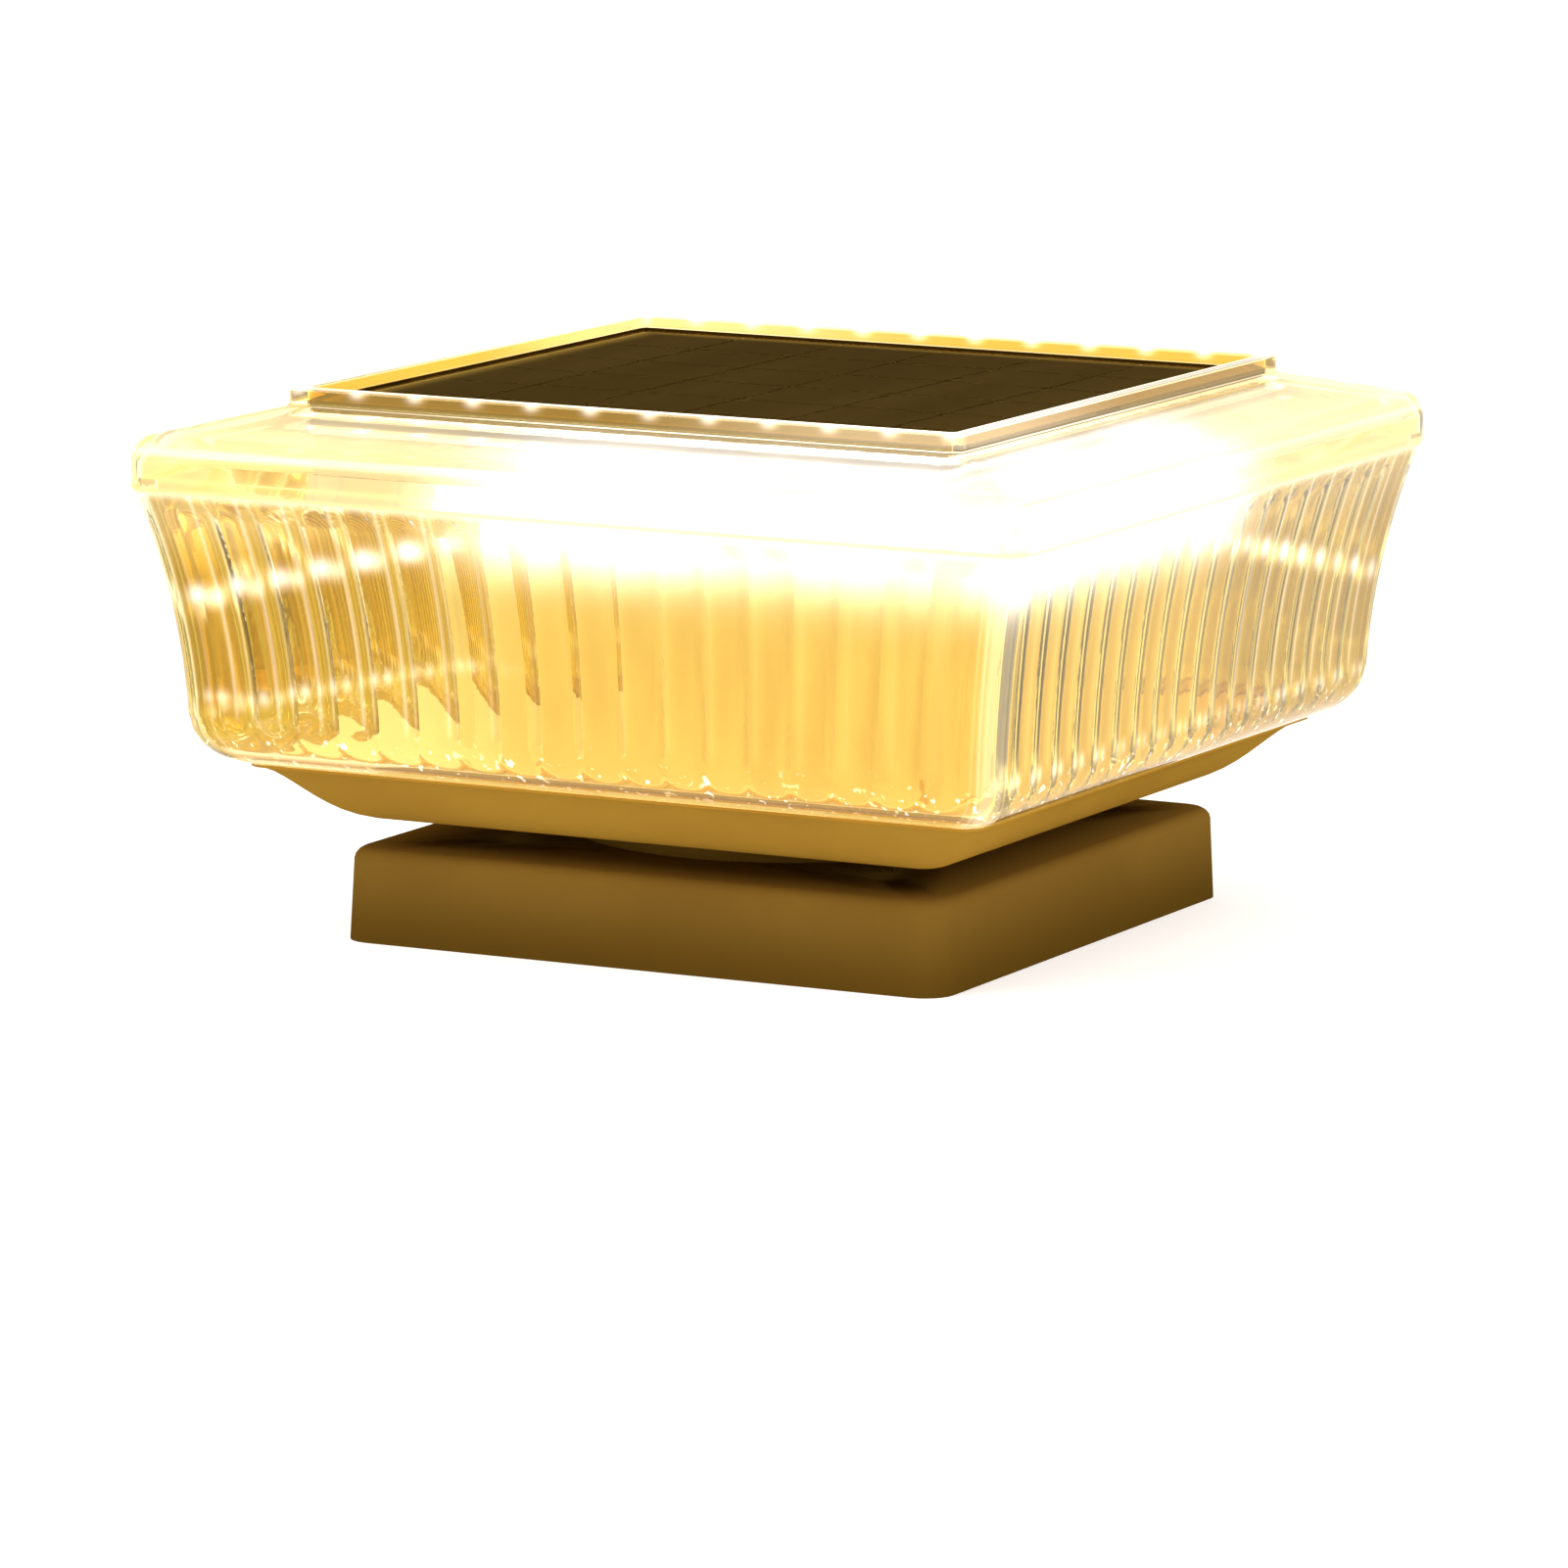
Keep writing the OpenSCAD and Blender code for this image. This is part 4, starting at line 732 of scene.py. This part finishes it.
def panel_face(name, colour, other):
    """The panel's dark face, with painted shade on its faces that do not look up. Its edges glow golden
    with the light in the rim round it.
    """
    f = Finish(name, Specular_IOR_Level=0.0, Roughness=0.6)
    half = f.square()[1]
    up = f.normal()[2]
    top = f.blend(f.patches(0.0, 1.0, scale=24, detail=3, stretch=(1, 0.2, 1)), colour, other)
    # Painted shade: faces that do not look up are darker than the top
    f.give("Base Color", f.blend(f.ramp(up, 0.3, 0.8), srgb(60, 48, 20), top))
    f.give("Emission Color", PANEL_EDGE_LIGHT)
    f.give("Emission Strength", f.ramp(half, *PANEL_EDGE, 0.0, PANEL_EDGE_STRENGTH))
    return f.material


def panel_cover_glass():
    """The panel's thin cover glass, which bends nothing."""
    tint = srgb(248, 244, 232)
    f = Finish("panel_glass", IOR=1.0, Transmission_Weight=1.0)
    f.give("Base Color", tint)
    f.give("Roughness", f.patches(0.05, 0.12, scale=30, detail=3))
    f.let_lamps_through(tint)
    return f.material


def paint(mesh, material):
    """Makes the material the mesh's only one."""
    mesh.materials.clear()
    mesh.materials.append(material)


def dress(finishes):
    """Gives CAD nodes their finishes."""
    for node, material in finishes.items():
        paint(nodes[node].data, material)


def make_outside(pan_finish):
    """The pieces seen from outside, each in place of its CAD node."""
    for piece, material, body, slot in (
            (make_shade(), shade_plastic(), "head", "clear_shade"),
            (make_cover(), cover_plastic(), "head", "clear_cover"),
            (smooth_copy("pan", "golden_pan"), pan_finish, "head", "pan_gold"),
            (smooth_copy("base", "brown_base"), base_plastic(), "base", "base_brown")):
        paint(piece.data, material)
        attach(piece, body)


def dress_lights():
    """The white pieces that hold and spread the light, and the seals that catch it."""
    silicone = glowing("lit_silicone", WARM_LIGHT, WARM_LIGHT, (0.7, 0.7))
    dress({
        "inner_column": glowing("column_white", WARM_LIGHT, HOT_LIGHT, (0.74, 2.4), COLUMN_HEIGHTS),
        "led_tray": glowing("tray_white", HOT_LIGHT, HOT_LIGHT, (1.1, 1.1), fade=0.5),
        "led_strips": glowing("strip_board", HOT_LIGHT, HOT_LIGHT, (3.0, 4.0), fade=0.85),
        "led_chips": glowing("led_case", HOT_LIGHT, HOT_LIGHT, (6.0, 6.0), fade=0.9, roughness=0.3),
        "pan_seal": silicone,
        "shade_seal": silicone,
    })


def dress_panel():
    """The solar panel and its sealant."""
    dress({
        "panel_glass": panel_cover_glass(),
        "solar_cells": panel_face("dark_silicon", srgb(128, 106, 61), srgb(114, 93, 52)),
        "panel_backsheet": panel_face("backsheet", srgb(122, 100, 57), srgb(110, 90, 50)),
        "panel_seal": plain("brown_sealant", srgb(96, 70, 26), srgb(80, 58, 20), 0.6, gloss=0.0),
    })


def dress_works(pan_finish):
    """The screws, the battery, the control board, the leads and the switch."""
    steel = plain("plated_steel", srgb(190, 190, 190), srgb(160, 160, 160), 0.3, metallic=1.0,
                  scale=200)
    rubber = plain("brown_silicone", srgb(120, 96, 48), srgb(100, 80, 40), 0.6)
    black = plain("black_moulding", srgb(30, 28, 26), srgb(22, 21, 20), 0.5)
    dress({
        "cover_screws": steel,
        "column_screws": steel,
        "battery_cover_screws": steel,
        "board_screws": steel,
        "switch_nut": steel,
        "battery_cover_seal": rubber,
        "switch_seal": rubber,
        "battery_holder": black,
        "switch_body": black,
        "control_chip": black,
        "battery_cover": pan_finish,
        "battery_cells": plain("battery_sleeve", srgb(30, 90, 150), srgb(26, 80, 136), 0.3),
        "battery_contacts": plain("pressed_brass", srgb(205, 175, 105), srgb(190, 160, 95), 0.3,
                                  metallic=1.0),
        "control_board": plain("board_green", srgb(24, 84, 44), srgb(20, 74, 38), 0.35),
        "power_inductor": plain("ferrite", srgb(52, 52, 56), srgb(44, 44, 48), 0.6),
        "capacitors": plain("capacitor_sleeve", srgb(32, 42, 90), srgb(28, 38, 80), 0.3),
        "board_sockets": plain("ivory_moulding", srgb(228, 222, 205), srgb(218, 212, 195), 0.45),
        "panel_lead": plain("red_lead", srgb(160, 28, 22), srgb(146, 24, 20), 0.45),
        "light_lead": plain("white_lead", srgb(228, 228, 224), srgb(216, 216, 212), 0.45),
        "switch_lead": plain("black_lead", srgb(24, 24, 24), srgb(18, 18, 18), 0.45),
        "button_cap": plain("red_button", srgb(180, 34, 28), srgb(168, 30, 25), 0.3),
    })


def make_stage():
    """A plain pale floor. The camera, glossy and transmitted rays see it white but for the shadow."""
    points = [(FLOOR_REACH * x, FLOOR_REACH * y, 0) for x, y in ((-1, -1), (1, -1), (1, 1), (-1, 1))]
    floor = add_mesh("floor", points, [(0, 1, 2, 3)])
    f = Finish("floor_paint", Roughness=0.9)
    path = f.node("LightPath")
    seen = f.maths("MAXIMUM", path.outputs["Is Camera Ray"],
                   f.maths("MAXIMUM", path.outputs["Is Glossy Ray"], path.outputs["Is Transmission Ray"]))
    f.give("Base Color", (0.8, 0.8, 0.8, 1))
    f.give("Emission Color", (1, 1, 1, 1))
    f.give("Emission Strength", f.times(seen, FLOOR_WHITENESS))
    floor.data.materials.append(f.material)


def make_world():
    """Even pale light all round, white to the camera and in gloss and clear plastic."""
    world = bpy.data.worlds.new("world")
    bpy.context.scene.world = world
    world.use_nodes = True
    tree = world.node_tree
    light, output = tree.nodes["Background"], tree.nodes["World Output"]
    light.inputs["Color"].default_value = (1, 1, 1, 1)
    light.inputs["Strength"].default_value = WORLD_LIGHT
    white = tree.nodes.new("ShaderNodeBackground")
    white.inputs["Color"].default_value = (1, 1, 1, 1)
    path = tree.nodes.new("ShaderNodeLightPath")
    seen = path.outputs["Is Camera Ray"]
    for name in ("Is Glossy Ray", "Is Transmission Ray"):
        most = tree.nodes.new("ShaderNodeMath")
        most.operation = "MAXIMUM"
        tree.links.new(seen, most.inputs[0])
        tree.links.new(path.outputs[name], most.inputs[1])
        seen = most.outputs[0]
    mix = tree.nodes.new("ShaderNodeMixShader")
    tree.links.new(seen, mix.inputs[0])
    tree.links.new(light.outputs[0], mix.inputs[1])
    tree.links.new(white.outputs[0], mix.inputs[2])
    tree.links.new(mix.outputs[0], output.inputs["Surface"])


def add_lamp(name, place, power):
    """A square soft lamp that points at the middle of the head."""
    data = bpy.data.lights.new(name, "AREA")
    data.shape = "SQUARE"
    data.size = LAMP_SIZE
    data.energy = power
    lamp = bpy.data.objects.new(name, data)
    aim = (Vector(place) - Vector(LAMP_TARGET)).to_track_quat("Z", "Y").to_matrix().to_4x4()
    lamp.matrix_world = Matrix.Translation(place) @ aim
    bpy.context.scene.collection.objects.link(lamp)


def main():
    """Sets up the view, the stage and the light, then makes and dresses the light's pieces."""
    bpy.context.scene.view_settings.view_transform = "Standard"
    make_camera()
    make_stage()
    make_world()
    add_lamp("key_lamp", KEY_PLACE, KEY_POWER)
    add_lamp("side_lamp", SIDE_PLACE, SIDE_POWER)
    pan_finish = pan_plastic()
    make_outside(pan_finish)
    dress_lights()
    dress_panel()
    dress_works(pan_finish)


main()
